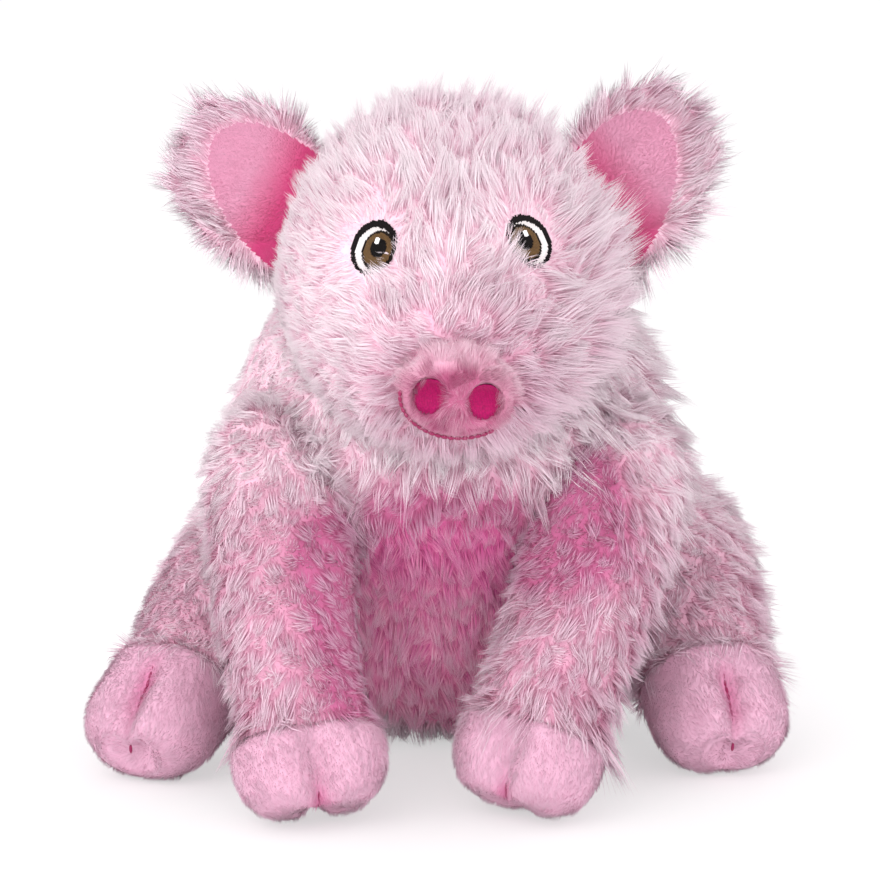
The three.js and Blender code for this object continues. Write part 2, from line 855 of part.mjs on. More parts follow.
// Mouth: a line of stitching on the muzzle, round the lower edge of the snout.
const mouth_start = THREE.MathUtils.degToRad(195);
const mouth_end = THREE.MathUtils.degToRad(325);
const mouth_margin = 2.2;
const mouth_points_count = 8;
const mouth_ring = Array.from({ length: mouth_points_count }, (_, i) => {
  const angle = THREE.MathUtils.lerp(mouth_start, mouth_end, i / (mouth_points_count - 1));
  const through = snout_front
    .clone()
    .addScaledVector(snout_side, (snout_half_width + mouth_margin) * Math.cos(angle))
    .addScaledVector(snout_up, (snout_half_height + mouth_margin) * Math.sin(angle));
  const seat = surfaceOf(head_form.solid, through, head_form.along.clone().negate());
  return seat.point.addScaledVector(head_form.along, thread_radius + core_gap);
});
addPiece(
  "mouth_seam",
  threadAlong(mouth_ring, thread_radius, 2 * mouth_points_count),
  seam_rose,
  thread_roughness,
);

// The head rests on the shoulder ball and nods about its middle; the neck plug reaches into its stuffing.
const nod_room =
  (shoulder_radius + neck_plug_length / 2) *
  Math.sin(THREE.MathUtils.degToRad(Math.max(nod_down_limit, -nod_up_limit)));
const neck_room = neckForm(seam_gap, nod_room + seam_gap);
const snout_clear = snoutForm(seam_gap, snout_root_depth + seam_gap);
let head_fur = head_form.solid.subtract(head_hollow).subtract(shoulder_seat).subtract(snout_clear);
head_fur = head_fur.subtract(neck_room);
const head_filling = head_core.subtract(shoulder_seat).subtract(neck_room).subtract(snout_clear);
addPiece("head_stuffing", geometryOf(head_filling), filling_white, pile_roughness);

// Eyes: satin stitching, side by side on the trimmed cloth of the brow: a dark outline, the white,
// the iris, the pupil and a dot of light. The named shares are of the eye's half width and half height.
const eye_half_width = 6.6;
const eye_half_height = 7.8;
const eye_thickness = 1.2;
const eye_pocket_depth = 3;
const eye_pocket_margin = 1.2;
const eye_lean = THREE.MathUtils.degToRad(12);
const eye_right_aside = 19.6;
const eye_right_height = 160.5;
const eye_left_aside = 22;
const eye_left_height = 162;
const eyes = [
  { name: "eye_right", side: -1, aside: eye_right_aside, height: eye_right_height, lean: -eye_lean },
  { name: "eye_left", side: 1, aside: eye_left_aside, height: eye_left_height, lean: eye_lean },
];
const eye_white_size_share = 0.84;
const eye_white_in_share = 0.04;
const eye_white_down_share = 0.08;
const eye_iris_size_share = 0.68;
const eye_iris_in_share = 0.34;
const eye_iris_down_share = 0.14;
const eye_pupil_size_share = 0.34;
const eye_light_size_share = 0.11;
const eye_light_down_share = 0.08;
const eye_facing_share = 0.8;
const eye_colours = {
  outline: 0x1a1412,
  white: 0xf7f4f0,
  iris: 0x5a4326,
  pupil: 0x120e0c,
  light: 0xffffff,
};

// An oval plate in the eye's own frame. A cutter runs past both faces of what it cuts.
function eyeOval(size_share, in_share, up_share, grow, low, high) {
  const oval = new THREE.Shape();
  oval.absellipse(
    eye_half_width * in_share,
    eye_half_height * up_share,
    eye_half_width * size_share + grow,
    eye_half_height * size_share + grow,
    0,
    full_turn,
  );
  const prism = new THREE.ExtrudeGeometry(oval, {
    depth: high - low,
    bevelEnabled: false,
    curveSegments: eye_segments / 2,
  });
  prism.translate(0, 0, low);
  return prism;
}

for (const eye of eyes) {
  const through = new THREE.Vector3(eye.side * eye.aside, 0, eye.height);
  const seat = surfaceOf(head_form.solid, through, back_axis);
  const facing = new THREE.Vector3(0, -1, 0).lerp(seat.facing, eye_facing_share).normalize();
  const base = new THREE.Matrix4().lookAt(facing, origin_point, up_axis);
  base.multiply(new THREE.Matrix4().makeRotationZ(eye.lean));
  const pocket_floor = seat.point.clone().addScaledVector(facing, -eye_pocket_depth);
  const pocket = eyeOval(1, 0, 0, eye_pocket_margin, 0, eye_pocket_depth + pile_wall);
  head_fur = head_fur.subtract(solidOf(pocket.applyMatrix4(base.setPosition(pocket_floor))));
  const frame = base.setPosition(pocket_floor.clone().addScaledVector(facing, seam_gap));
  const shares = {
    outline: [1, 0, 0],
    white: [eye_white_size_share, -eye.side * eye_white_in_share, -eye_white_down_share],
    iris: [eye_iris_size_share, -eye.side * eye_iris_in_share, -eye_iris_down_share],
    pupil: [eye_pupil_size_share, -eye.side * eye_iris_in_share, -eye_iris_down_share],
    light: [eye_light_size_share, -eye.side * eye_iris_in_share, -eye_light_down_share],
  };
  const layers = Object.keys(shares);
  layers.forEach((layer, i) => {
    let patch = solidOf(eyeOval(...shares[layer], 0, 0, eye_thickness));
    for (const inner of layers.slice(i + 1)) {
      patch = patch.subtract(
        solidOf(eyeOval(...shares[inner], seam_gap, -eye_thickness, 2 * eye_thickness)),
      );
    }
    addPiece(
      `${eye.name}_${layer}`,
      geometryOf(patch).applyMatrix4(frame),
      eye_colours[layer],
      thread_roughness,
    );
  });
}

addPiece("head_cover_left", geometryOf(head_fur.intersect(left_half)), fur_pink, pile_roughness);
addPiece("head_cover_right", geometryOf(head_fur.intersect(right_half)), fur_pink, pile_roughness);

// Ears: a folded cup of fur with a lining of short pile in its hollow, sewn to the side of the head.
// Shares run from the root to the tip, of the ear's half width and half thickness.
const ear_length = 38;
const ear_half_width = 22;
const ear_half_thickness = 7.5;
const ear_cap = 9;
const ear_hollow_depth = 6;
const ear_hollow_margin = 5;
const ear_root_sunk = 6;
const ear_root_height = 168;
const ear_root_forward = 50;
const ear_width_shares = [0.86, 1, 1.08, 1.02, 0.82];
const ear_thickness_shares = [1, 1, 0.95, 0.85, 0.7];
const ear_right_rise = THREE.MathUtils.degToRad(25);
const ear_left_rise = THREE.MathUtils.degToRad(40);
const ear_sweep = THREE.MathUtils.degToRad(8);
const ears = [
  { name: "ear_right", side: -1, rise: ear_right_rise, sweep: ear_sweep },
  { name: "ear_left", side: 1, rise: ear_left_rise, sweep: ear_sweep },
];
const ear_tilt = THREE.MathUtils.degToRad(8);

for (const ear of ears) {
  const along = new THREE.Vector3(
    ear.side * Math.cos(ear.rise) * Math.cos(ear.sweep),
    Math.sin(ear.sweep),
    Math.sin(ear.rise) * Math.cos(ear.sweep),
  ).normalize();
  const facing = new THREE.Vector3(0, -Math.cos(ear_tilt), Math.sin(ear_tilt));
  facing.addScaledVector(along, -facing.dot(along)).normalize();
  const wide = new THREE.Vector3().crossVectors(facing, along);
  const through = new THREE.Vector3(0, -ear_root_forward, ear_root_height);
  const seat = surfaceOf(head_form.solid, through, side_axis.clone().multiplyScalar(-ear.side));
  const root = seat.point.clone().addScaledVector(along, -ear_root_sunk);
  const last = ear_width_shares.length - 1;
  const earForm = (grow) => {
    const rings = ear_width_shares.map((width_share, i) =>
      ringOf(
        root.clone().addScaledVector(along, (ear_length * i) / last),
        wide,
        facing,
        ear_half_width * width_share + grow,
        ear_half_thickness * ear_thickness_shares[i] + grow,
        ear_sides,
      ),
    );
    const end = root.clone().addScaledVector(along, ear_length);
    const tip = domedRings(
      rings,
      end,
      along,
      wide,
      facing,
      ear_half_width * ear_width_shares[last] + grow,
      ear_half_thickness * ear_thickness_shares[last] + grow,
      ear_cap + grow,
      cap_steps,
      ear_sides,
    );
    return solidOf(skinOf(rings, root, tip));
  };
  const head_sweep = sweptAbout(
    headForm(seam_gap).solid,
    seat.point,
    wide,
    [-ear_limit, 0, ear_limit],
  );
  const hollow_turn = new THREE.Quaternion().setFromRotationMatrix(
    new THREE.Matrix4().makeBasis(wide, facing, along),
  );
  const hollow_centre = root
    .clone()
    .addScaledVector(along, (ear_length + ear_cap) / 2 + ear_hollow_margin / 2)
    .addScaledVector(facing, ear_half_thickness);
  const hollow = (grow) =>
    ellipsoid(
      hollow_centre,
      new THREE.Vector3(
        ear_half_width - ear_hollow_margin + grow,
        ear_hollow_depth + grow,
        (ear_length + ear_cap) / 2 - ear_hollow_margin + grow,
      ),
      hollow_turn,
    );
  const body = earForm(0).subtract(head_sweep);
  const back = body.subtract(hollow(minky_wall + seam_gap));
  const lining = body.intersect(hollow(minky_wall)).subtract(hollow(0));
  addPiece(ear.name + "_back", geometryOf(back), fur_pink, pile_roughness);
  addPiece(ear.name + "_lining", geometryOf(lining), lining_pink, minky_roughness);
}

export default pig;
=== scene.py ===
import math

import bpy
import numpy as np
from mathutils import Matrix, Vector
from mathutils.bvhtree import BVHTree


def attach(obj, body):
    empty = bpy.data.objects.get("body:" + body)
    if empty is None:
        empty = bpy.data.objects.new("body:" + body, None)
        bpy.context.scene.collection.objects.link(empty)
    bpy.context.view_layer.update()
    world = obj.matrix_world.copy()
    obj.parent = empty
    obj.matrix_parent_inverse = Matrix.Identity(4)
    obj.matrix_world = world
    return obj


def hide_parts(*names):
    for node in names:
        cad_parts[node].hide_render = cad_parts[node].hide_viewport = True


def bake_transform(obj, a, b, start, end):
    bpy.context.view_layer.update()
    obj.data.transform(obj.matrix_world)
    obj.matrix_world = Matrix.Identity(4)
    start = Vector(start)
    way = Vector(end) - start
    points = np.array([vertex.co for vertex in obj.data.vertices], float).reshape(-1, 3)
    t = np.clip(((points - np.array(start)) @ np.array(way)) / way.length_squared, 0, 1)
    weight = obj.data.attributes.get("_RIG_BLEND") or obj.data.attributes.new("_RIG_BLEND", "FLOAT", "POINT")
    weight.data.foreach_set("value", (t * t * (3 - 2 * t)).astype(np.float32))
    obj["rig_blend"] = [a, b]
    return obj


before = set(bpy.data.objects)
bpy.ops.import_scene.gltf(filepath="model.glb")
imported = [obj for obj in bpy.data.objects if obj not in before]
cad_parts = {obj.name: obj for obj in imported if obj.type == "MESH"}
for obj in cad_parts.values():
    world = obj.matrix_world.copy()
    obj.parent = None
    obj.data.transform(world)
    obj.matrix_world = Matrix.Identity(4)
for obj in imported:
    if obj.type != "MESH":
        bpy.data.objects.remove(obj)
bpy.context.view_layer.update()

# The stage: a pale table that runs back to a pale wall, a large soft lamp from the upper left,
# a weaker one from the right and an even pale sky. The camera stands a metre off, ten degrees up.
MM = 0.001
IMAGE_PX = 880


def linear(red, green, blue):
    """A colour written as it shows on screen, 0 to 255, for a shader's socket."""
    shown = np.array([red, green, blue]) / 255
    light = np.where(shown <= 0.04045, shown / 12.92, ((shown + 0.055) / 1.055) ** 2.4)
    return (*light, 1.0)


def wired(tree, kind, sockets=None, **settings):
    """Adds one node. A socket given as another node's output is linked, and a number is set on it."""
    made = tree.nodes.new(kind)
    for key, value in settings.items():
        setattr(made, key, value)
    for place, value in (sockets or {}).items():
        if isinstance(value, bpy.types.NodeSocket):
            tree.links.new(value, made.inputs[place])
        else:
            made.inputs[place].default_value = value
    return made


def bare_material(name):
    material = bpy.data.materials.new(name)
    material.use_nodes = True
    material.node_tree.nodes.clear()
    return material


scene = bpy.context.scene
scene.view_settings.view_transform = "Standard"

camera_lens_mm = 136.8
camera_distance = 1.0
camera_aim = Vector((0, -0.022, 0.0917))
camera_up_deg = 10
camera_aside_px = 7
camera_data = bpy.data.cameras.new("camera")
camera_data.lens = camera_lens_mm
camera_data.shift_x = -camera_aside_px / IMAGE_PX
camera = bpy.data.objects.new("camera", camera_data)
scene.collection.objects.link(camera)
camera_rise = math.radians(camera_up_deg)
camera.location = camera_aim + camera_distance * Vector(
    (0, -math.cos(camera_rise), math.sin(camera_rise))
)
camera.rotation_euler = (math.pi / 2 - camera_rise, 0, 0)
scene.camera = camera

world = bpy.data.worlds.new("sky")
scene.world = world
world.use_nodes = True
world.node_tree.nodes.clear()
sky_strength = 1.12
seen = wired(world.node_tree, "ShaderNodeLightPath")
seen_by_camera = wired(
    world.node_tree,
    "ShaderNodeMath",
    {0: seen.outputs["Is Camera Ray"], 1: seen.outputs["Is Glossy Ray"]},
    operation="ADD",
)
seen_at_all = wired(
    world.node_tree,
    "ShaderNodeMath",
    {0: seen_by_camera.outputs[0], 1: seen.outputs["Is Transmission Ray"]},
    operation="ADD",
    use_clamp=True,
)
sky_level = wired(
    world.node_tree,
    "ShaderNodeMapRange",
    {"Value": seen_at_all.outputs[0], "To Min": sky_strength, "To Max": 1.0},
)
sky = wired(
    world.node_tree,
    "ShaderNodeBackground",
    {"Color": linear(255, 252, 253), "Strength": sky_level.outputs[0]},
)
wired(world.node_tree, "ShaderNodeOutputWorld", {"Surface": sky.outputs[0]})


def add_lamp(name, place, aim, size, power, colour):
    data = bpy.data.lights.new(name, "AREA")
    data.size = size
    data.energy = power
    data.color = colour
    lamp = bpy.data.objects.new(name, data)
    scene.collection.objects.link(lamp)
    lamp.location = place
    lamp.rotation_euler = (Vector(aim) - Vector(place)).to_track_quat("-Z", "Y").to_euler()


lamps = {
    "key_lamp": {
        "place": (-0.65, -1.15, 0.8),
        "aim": (0, -0.03, 0.1),
        "size": 1.2,
        "power": 8.2,
        "colour": (1.0, 0.98, 0.97),
    },
    "fill_lamp": {
        "place": (0.35, -1.4, 0.25),
        "aim": (0, -0.03, 0.07),
        "size": 0.9,
        "power": 6.4,
        "colour": (1.0, 0.98, 0.99),
    },
}
for name, lamp in lamps.items():
    add_lamp(name, **lamp)

floor_half = 6.0
floor_glow_share = 0.55
floor_mesh = bpy.data.meshes.new("floor")
floor_mesh.from_pydata(
    [
        (-floor_half, -floor_half, 0),
        (floor_half, -floor_half, 0),
        (floor_half, floor_half, 0),
        (-floor_half, floor_half, 0),
    ],
    [],
    [(0, 1, 2, 3)],
)
floor = bpy.data.objects.new("floor", floor_mesh)
scene.collection.objects.link(floor)
floor_material = bare_material("pale_table")
floor_tree = floor_material.node_tree
floor_seen = wired(floor_tree, "ShaderNodeLightPath")
floor_cloth = wired(floor_tree, "ShaderNodeBsdfDiffuse", {"Color": linear(250, 249, 250)})
floor_glow = wired(floor_tree, "ShaderNodeEmission", {"Color": linear(255, 255, 255), "Strength": 1.0})
floor_share = wired(
    floor_tree,
    "ShaderNodeMath",
    {0: floor_seen.outputs["Is Camera Ray"], 1: floor_glow_share},
    operation="MULTIPLY",
)
floor_mix = wired(
    floor_tree,
    "ShaderNodeMixShader",
    {0: floor_share.outputs[0], 1: floor_cloth.outputs[0], 2: floor_glow.outputs[0]},
)
wired(floor_tree, "ShaderNodeOutputMaterial", {"Surface": floor_mix.outputs[0]})
floor_mesh.materials.append(floor_material)

# Torso: a ball of chest and shoulders over a wide soft seat, stuffed tight. Its cover is long two-tone
# plush in two halves with a seam down the back, a panel of shorter pile on the belly, and an oval seat.
shoulder_radius = 66.0
shoulder_height = 94.0
shoulder_forward = 28.0
chest_front = shoulder_forward + shoulder_radius
seat_half_width = 67.5
rump_back = 52.0
neck_pivot = np.array([0.0, -shoulder_forward, shoulder_height])
torso_heights = np.array([0.003, 0.025, 0.075, 0.16, 0.28, 0.45, 0.62, 0.81])
torso_widths = np.array([0.38, 0.58, 0.72, 0.85, 0.94, 0.99, 1.0, 0.995])
torso_fronts = np.array([0.22, 0.35, 0.45, 0.55, 0.63, 0.7, 0.8, 0.93])
torso_backs = np.array([0.42, 0.62, 0.78, 0.9, 0.98, 1.0, 0.95, 0.84])
torso_steps = 6
torso_around = 88
ball_top_deg = 84
ball_rings = 7
plush_sunk = 3.5
side_axis = np.array([1.0, 0.0, 0.0])
back_axis = np.array([0.0, 1.0, 0.0])
up_axis = np.array([0.0, 0.0, 1.0])


def unit(vectors):
    vectors = np.asarray(vectors, float)
    return vectors / np.maximum(np.linalg.norm(vectors, axis=-1, keepdims=True), 1e-9)


def smooth_run(values, steps):
    """Values through evenly spaced stations, with so many steps from each to the next."""
    values = np.asarray(values, float)
    ends = np.concatenate([2 * values[:1] - values[1:2], values, 2 * values[-1:] - values[-2:-1]])
    run = []
    for i in range(len(values) - 1):
        a, b, c, d = ends[i : i + 4]
        for k in range(steps):
            t = k / steps
            run.append(
                b
                + 0.5 * t * (c - a)
                + t * t * (a - 2.5 * b + 2 * c - 0.5 * d)
                + t**3 * (-0.5 * a + 1.5 * b - 1.5 * c + 0.5 * d)
            )
    run.append(values[-1])
    return np.array(run)


def ring_of(centre, side, up, half_side, half_up, around, dip=0.0, spread=0.42):
    """One ring of a form: an oval, drawn in at its top where a hoof is cloven."""
    angle = np.arange(around) / around * 2 * math.pi
    from_top = np.abs(np.arctan2(np.cos(angle), np.sin(angle)))
    drawn = 1 - dip * np.exp(-((from_top / spread) ** 2))
    return (
        centre
        + np.outer(half_side * drawn * np.cos(angle), side)
        + np.outer(half_up * drawn * np.sin(angle), up)
    )


def skin_object(name, rings, start, end, keep=None, judged=None):
    """A closed skin over rings, with a pole at each end. keep picks faces by their middles, on judged."""
    rings = np.asarray(rings, float)
    count, around = rings.shape[:2]
    points = np.concatenate([rings.reshape(-1, 3), [start, end]])
    here = np.arange(around)
    there = (here + 1) % around
    faces = [(count * around, b, a) for a, b in zip(here, there)]
    for i in range(count - 1):
        low, high = i * around, (i + 1) * around
        faces += [(low + a, low + b, high + b, high + a) for a, b in zip(here, there)]
    last = (count - 1) * around
    faces += [(count * around + 1, last + a, last + b) for a, b in zip(here, there)]
    if keep is not None:
        seen = points if judged is None else np.concatenate([np.reshape(judged, (-1, 3)), [start, end]])
        faces = [f for f in faces if keep(seen[list(f)].mean(0))]
    return mesh_object(name, points, faces)


def mesh_object(name, points, faces):
    """A smooth-shaded mesh from points in millimetres. Points that no face uses are left out."""
    used = sorted({i for f in faces for i in f})
    place = {old: new for new, old in enumerate(used)}
    mesh = bpy.data.meshes.new(name)
    mesh.from_pydata(
        [tuple(points[i] * MM) for i in used], [], [tuple(place[i] for i in f) for f in faces]
    )
    mesh.shade_smooth()
    made = bpy.data.objects.new(name, mesh)
    scene.collection.objects.link(made)
    return made


def torso_rings(grow, between, around):
    """The torso's rings from seat to neck, grown or shrunk evenly, with its two poles."""
    squat = 1 + grow / shoulder_height
    fronts = -chest_front * torso_fronts
    backs = rump_back * torso_backs
    stations = np.stack(
        [
            (fronts + backs) / 2,
            shoulder_height - shoulder_height * (1 - torso_heights) * squat,
            seat_half_width * torso_widths + grow,
            (backs - fronts) / 2 + grow,
        ],
        1,
    )
    radius = shoulder_radius + grow
    rises = np.radians(np.linspace(0, ball_top_deg, ball_rings))
    ball = np.stack(
        [
            np.full(len(rises), -shoulder_forward),
            shoulder_height + radius * np.sin(rises),
            radius * np.cos(rises),
            radius * np.cos(rises),
        ],
        1,
    )
    run = smooth_run(np.concatenate([stations, ball]), between)
    rings = [ring_of(np.array([0, y, z]), side_axis, back_axis, w, d, around) for y, z, w, d in run]
    seat = np.array([0, 0, max(shoulder_height * (1 - squat), 0.0)])
    top = neck_pivot + up_axis * radius
    return rings, seat, top


belly_half_width = 37.0
belly_low = 9.0
belly_high = 80.0
belly_middle = (belly_low + belly_high) / 2
belly_half_height = (belly_high - belly_low) / 2
belly_behind = -25.0
seat_panel_half_width = 33.0
seat_panel_half_depth = 22.0
seat_panel_high = 9.0
off_panel = 9.0


def on_belly(p):
    """Below 1 inside the belly panel's oval, and above 1 outside it."""
    reach = np.hypot(p[..., 0] / belly_half_width, (p[..., 2] - belly_middle) / belly_half_height)
    return np.where(p[..., 1] < belly_behind, reach, off_panel)


def on_seat(p):
    """Below 1 inside the seat panel's oval, and above 1 outside it."""
    reach = np.hypot(p[..., 0] / seat_panel_half_width, p[..., 1] / seat_panel_half_depth)
    return np.where(p[..., 2] < seat_panel_high, reach, off_panel)


torso_form = torso_rings(-plush_sunk, torso_steps, torso_around)
torso_plush = skin_object(
    "torso_plush", *torso_form, keep=lambda p: on_belly(p) > 1 and on_seat(p) > 1
)
belly_plush = skin_object("belly_plush", *torso_form, keep=lambda p: on_belly(p) <= 1)
seat_plush = skin_object(
    "seat_plush", *torso_form, keep=lambda p: on_seat(p) <= 1 and on_belly(p) > 1
)

# Head: a stuffed skull that narrows to a blunt muzzle, of the same long plush, sewn down its middle.
# It rests on the shoulders in a hollow, and the cloth round the eyes and the snout is trimmed short.
head_half_width = 50.0
head_half_height = 49.0
head_back = np.array([0.0, -24.0, 158.0])
head_back_cap = 10.0
muzzle = np.array([0.0, -114.0, 126.0])
muzzle_half_width = 30.0
muzzle_half_height = 27.0
muzzle_cap = 11.0
head_places = np.array([0, 0.22, 0.5, 0.74, 0.9, 1])
head_sinks = np.array([0, 0.1, 0.34, 0.62, 0.86, 1])
head_widths = np.array([0.64, 0.9, 1, 0.92, 0.76, muzzle_half_width / head_half_width])
head_heights = np.array([0.6, 0.92, 1, 0.9, 0.74, muzzle_half_height / head_half_height])
head_seat_gap = 1.0
head_steps = 7
head_around = 84
head_back_rings = 7
muzzle_rings = 9


def domed(
    rings, centre, along, side, up, half_side, half_up, cap, steps, around, dips=(0.0, 0.0), spread=0.42
):
    """Adds the rings of a domed end, and returns its pole."""
    for i in range(1, steps):
        bend = i / steps * math.pi / 2
        shrink = math.sqrt(math.cos(bend))
        dip = dips[0] + (dips[1] - dips[0]) * i / steps
        at = centre + along * cap * math.sin(bend)
        rings.append(ring_of(at, side, up, half_side * shrink, half_up * shrink, around, dip, spread))
    return centre + along * cap


def head_rings(grow, between, around):
    """The head's rings from its back to the muzzle, its poles, and the muzzle's way and up."""
    centres = np.stack(
        [
            np.zeros(len(head_places)),
            head_back[1] + (muzzle[1] - head_back[1]) * head_places,
            head_back[2] + (muzzle[2] - head_back[2]) * head_sinks,
        ],
        1,
    )
    halves = np.stack([head_half_width * head_widths, head_half_height * head_heights], 1) + grow
    run = smooth_run(np.concatenate([centres, halves], 1), between)
    tangents = unit(np.gradient(run[:, :3], axis=0))
    rings = []
    start = domed(
        rings,
        run[0, :3],
        -tangents[0],
        side_axis,
        np.cross(tangents[0], side_axis),
        run[0, 3],
        run[0, 4],
        head_back_cap + grow,
        head_back_rings,
        around,
    )
    rings.reverse()
    for row, along in zip(run, tangents):
        rings.append(ring_of(row[:3], side_axis, np.cross(along, side_axis), row[3], row[4], around))
    along = tangents[-1]
    up = np.cross(along, side_axis)
    end = domed(
        rings,
        run[-1, :3],
        along,
        side_axis,
        up,
        run[-1, 3],
        run[-1, 4],
        muzzle_cap + grow,
        muzzle_rings,
        around,
    )
    return rings, start, end, along, up


head_form, head_start, head_end, head_along, head_up = head_rings(-plush_sunk, head_steps, head_around)
head_front = head_rings(0.0, head_steps, head_around)[2]


def off_shoulders(points, radius):
    """Points moved out of the ball that the head rides on."""
    away = points - neck_pivot
    far = np.linalg.norm(away, axis=-1, keepdims=True)
    return np.where(far < radius, neck_pivot + away / np.maximum(far, 1e-6) * radius, points)


head_seat_radius = shoulder_radius - plush_sunk + head_seat_gap
head_form = [off_shoulders(ring, head_seat_radius) for ring in head_form]
head_plush = skin_object("head_plush", head_form, head_start, head_end)

# Snout: an oval disc of short mauve fuzz let into the front of the muzzle, a little to the toy's left.
# Two deep nostrils are pushed into its face, and a low lip is raised round each.
snout_half_width = 15.5
snout_half_height = 13.5
snout_proud = 5.0
snout_round = 2.5
snout_aside = 2.4
snout_lift = 3.0
snout_roll = math.radians(-7)
snout_depth = 8.0
nostril_half_width = 4.4
nostril_half_height = 5.7
nostril_depth = 3.4
nostril_spread = 7.4
nostril_wall = 11.0
nostril_wall_at = 0.92
nostril_lip = 0.7
nostril_lip_at = 1.25
nostril_lip_spread = 0.3
nostril_deeper = 1.25
snout_back_narrower = 0.1
snout_around = 96
snout_side_rings = 7
snout_face_rings = 26


def turned(vector, axis, angle):
    return np.array(Matrix.Rotation(angle, 3, Vector(axis)) @ Vector(vector))


snout_side = turned(side_axis, head_along, snout_roll)
snout_up = turned(head_up, head_along, snout_roll)
snout_front = (
    head_front + side_axis * snout_aside + snout_up * snout_lift + head_along * (snout_proud - snout_round)
)
snout_face = snout_front + head_along * snout_round


def snout_ring(ahead, share):
    """One oval of the snout, so far ahead of its front edge, at a share of its full size."""
    return ring_of(
        snout_front + head_along * ahead,
        snout_side,
        snout_up,
        snout_half_width * share,
        snout_half_height * share,
        snout_around,
    )


def snout_rings():
    """The snout's rings: its side, which widens forwards, and then its rounded face."""
    rings = []
    for back in np.linspace(snout_depth, 0, snout_side_rings):
        rings.append(snout_ring(-back, 1 - snout_back_narrower * (back / snout_depth)))
    for i in range(1, snout_face_rings):
        bend = i / snout_face_rings * math.pi / 2
        rings.append(snout_ring(snout_round * math.sin(bend) ** 0.6, math.cos(bend) ** 0.7))
    return rings


def across_snout(points):
    """How far points lie across and up the snout from the middle of its face, in millimetres."""
    away = points - snout_face
    return away @ snout_side, away @ snout_up


def from_nostril(across, high, side):
    """0 at the middle of a nostril, and 1 at its edge."""
    return np.hypot((across - side * nostril_spread) / nostril_half_width, high / nostril_half_height)


def pitted(points):
    """The snout's points, pushed in where the two nostrils are and raised a little round them."""
    across, high = across_snout(points)
    sunk = np.zeros(len(points))
    for side in (-1, 1):
        far = from_nostril(across, high, side)
        pit = 1 / (1 + np.exp((far - nostril_wall_at) * nostril_wall))
        lip = np.exp(-(((far - nostril_lip_at) / nostril_lip_spread) ** 2))
        sunk += -nostril_depth * nostril_deeper * pit + nostril_lip * lip
    in_front = (points - snout_face) @ head_along > -snout_round - 2
    return points + np.outer(np.where(in_front, sunk, 0), head_along)


snout_skin_rings = [pitted(ring) for ring in snout_rings()]
snout_back = snout_front - head_along * (snout_depth + 1)
snout_tip = pitted(np.array([snout_face]))[0]
snout_plush = skin_object("snout_plush", snout_skin_rings, snout_back, snout_tip)

# Eyes: satin stitches, rows of thread side by side over a shape, sewn through the cloth of the face.
# Each is built up in layers: dark outline, white, brown iris with its rim, pupil and a dot of light.
def number_node(tree, operation, *values):
    return wired(tree, "ShaderNodeMath", dict(enumerate(values)), operation=operation).outputs[0]


def thread_material(name, colour, darker, roughness=0.42, gloss=0.5):
    """Glossy spun thread, a little uneven in tone from one turn to the next."""
    material = bare_material(name)
    tree = material.node_tree
    place = wired(tree, "ShaderNodeTexCoord")
    speckle = wired(
        tree, "ShaderNodeTexNoise", {"Vector": place.outputs["Object"], "Scale": 1800.0, "Detail": 3.0}
    )
    tone = wired(
        tree,
        "ShaderNodeMix",
        {"Factor": speckle.outputs[0], 6: linear(*darker), 7: linear(*colour)},
        data_type="RGBA",
    )
    bump = wired(
        tree,
        "ShaderNodeBump",
        {"Strength": 0.35, "Distance": 0.0001, "Height": speckle.outputs[0]},
    )
    shader = wired(
        tree,
        "ShaderNodeBsdfPrincipled",
        {
            "Base Color": tone.outputs[2],
            "Roughness": roughness,
            "Specular IOR Level": gloss,
            "Sheen Weight": 0.3 * gloss,
            "Normal": bump.outputs[0],
        },
    )
    wired(tree, "ShaderNodeOutputMaterial", {"Surface": shader.outputs[0]})
    return material


def opened_tree(title, inputs, result):
    """A new tree with its inputs, each a name, kind and value. Returns it, their marks and sockets."""
    tree = bpy.data.node_groups.new(title, "GeometryNodeTree")
    names = {}
    for name, kind, value in inputs:
        made = tree.interface.new_socket(name=name, in_out="INPUT", socket_type="NodeSocket" + kind)
        names[name] = made.identifier
        if value is not None:
            made.default_value = value
    tree.interface.new_socket(name=result, in_out="OUTPUT", socket_type="NodeSocketGeometry")
    return tree, names, wired(tree, "NodeGroupInput").outputs


def close_tree(tree, geometry, finish):
    """Ends a tree: its geometry is shaded smooth, made real and given its finish."""
    smooth = wired(tree, "GeometryNodeSetShadeSmooth", {"Geometry": geometry}).outputs[0]
    whole = wired(tree, "GeometryNodeRealizeInstances", {"Geometry": smooth}).outputs[0]
    done = wired(tree, "GeometryNodeSetMaterial", {"Geometry": whole, "Material": finish}).outputs[0]
    wired(tree, "NodeGroupOutput", {0: done})


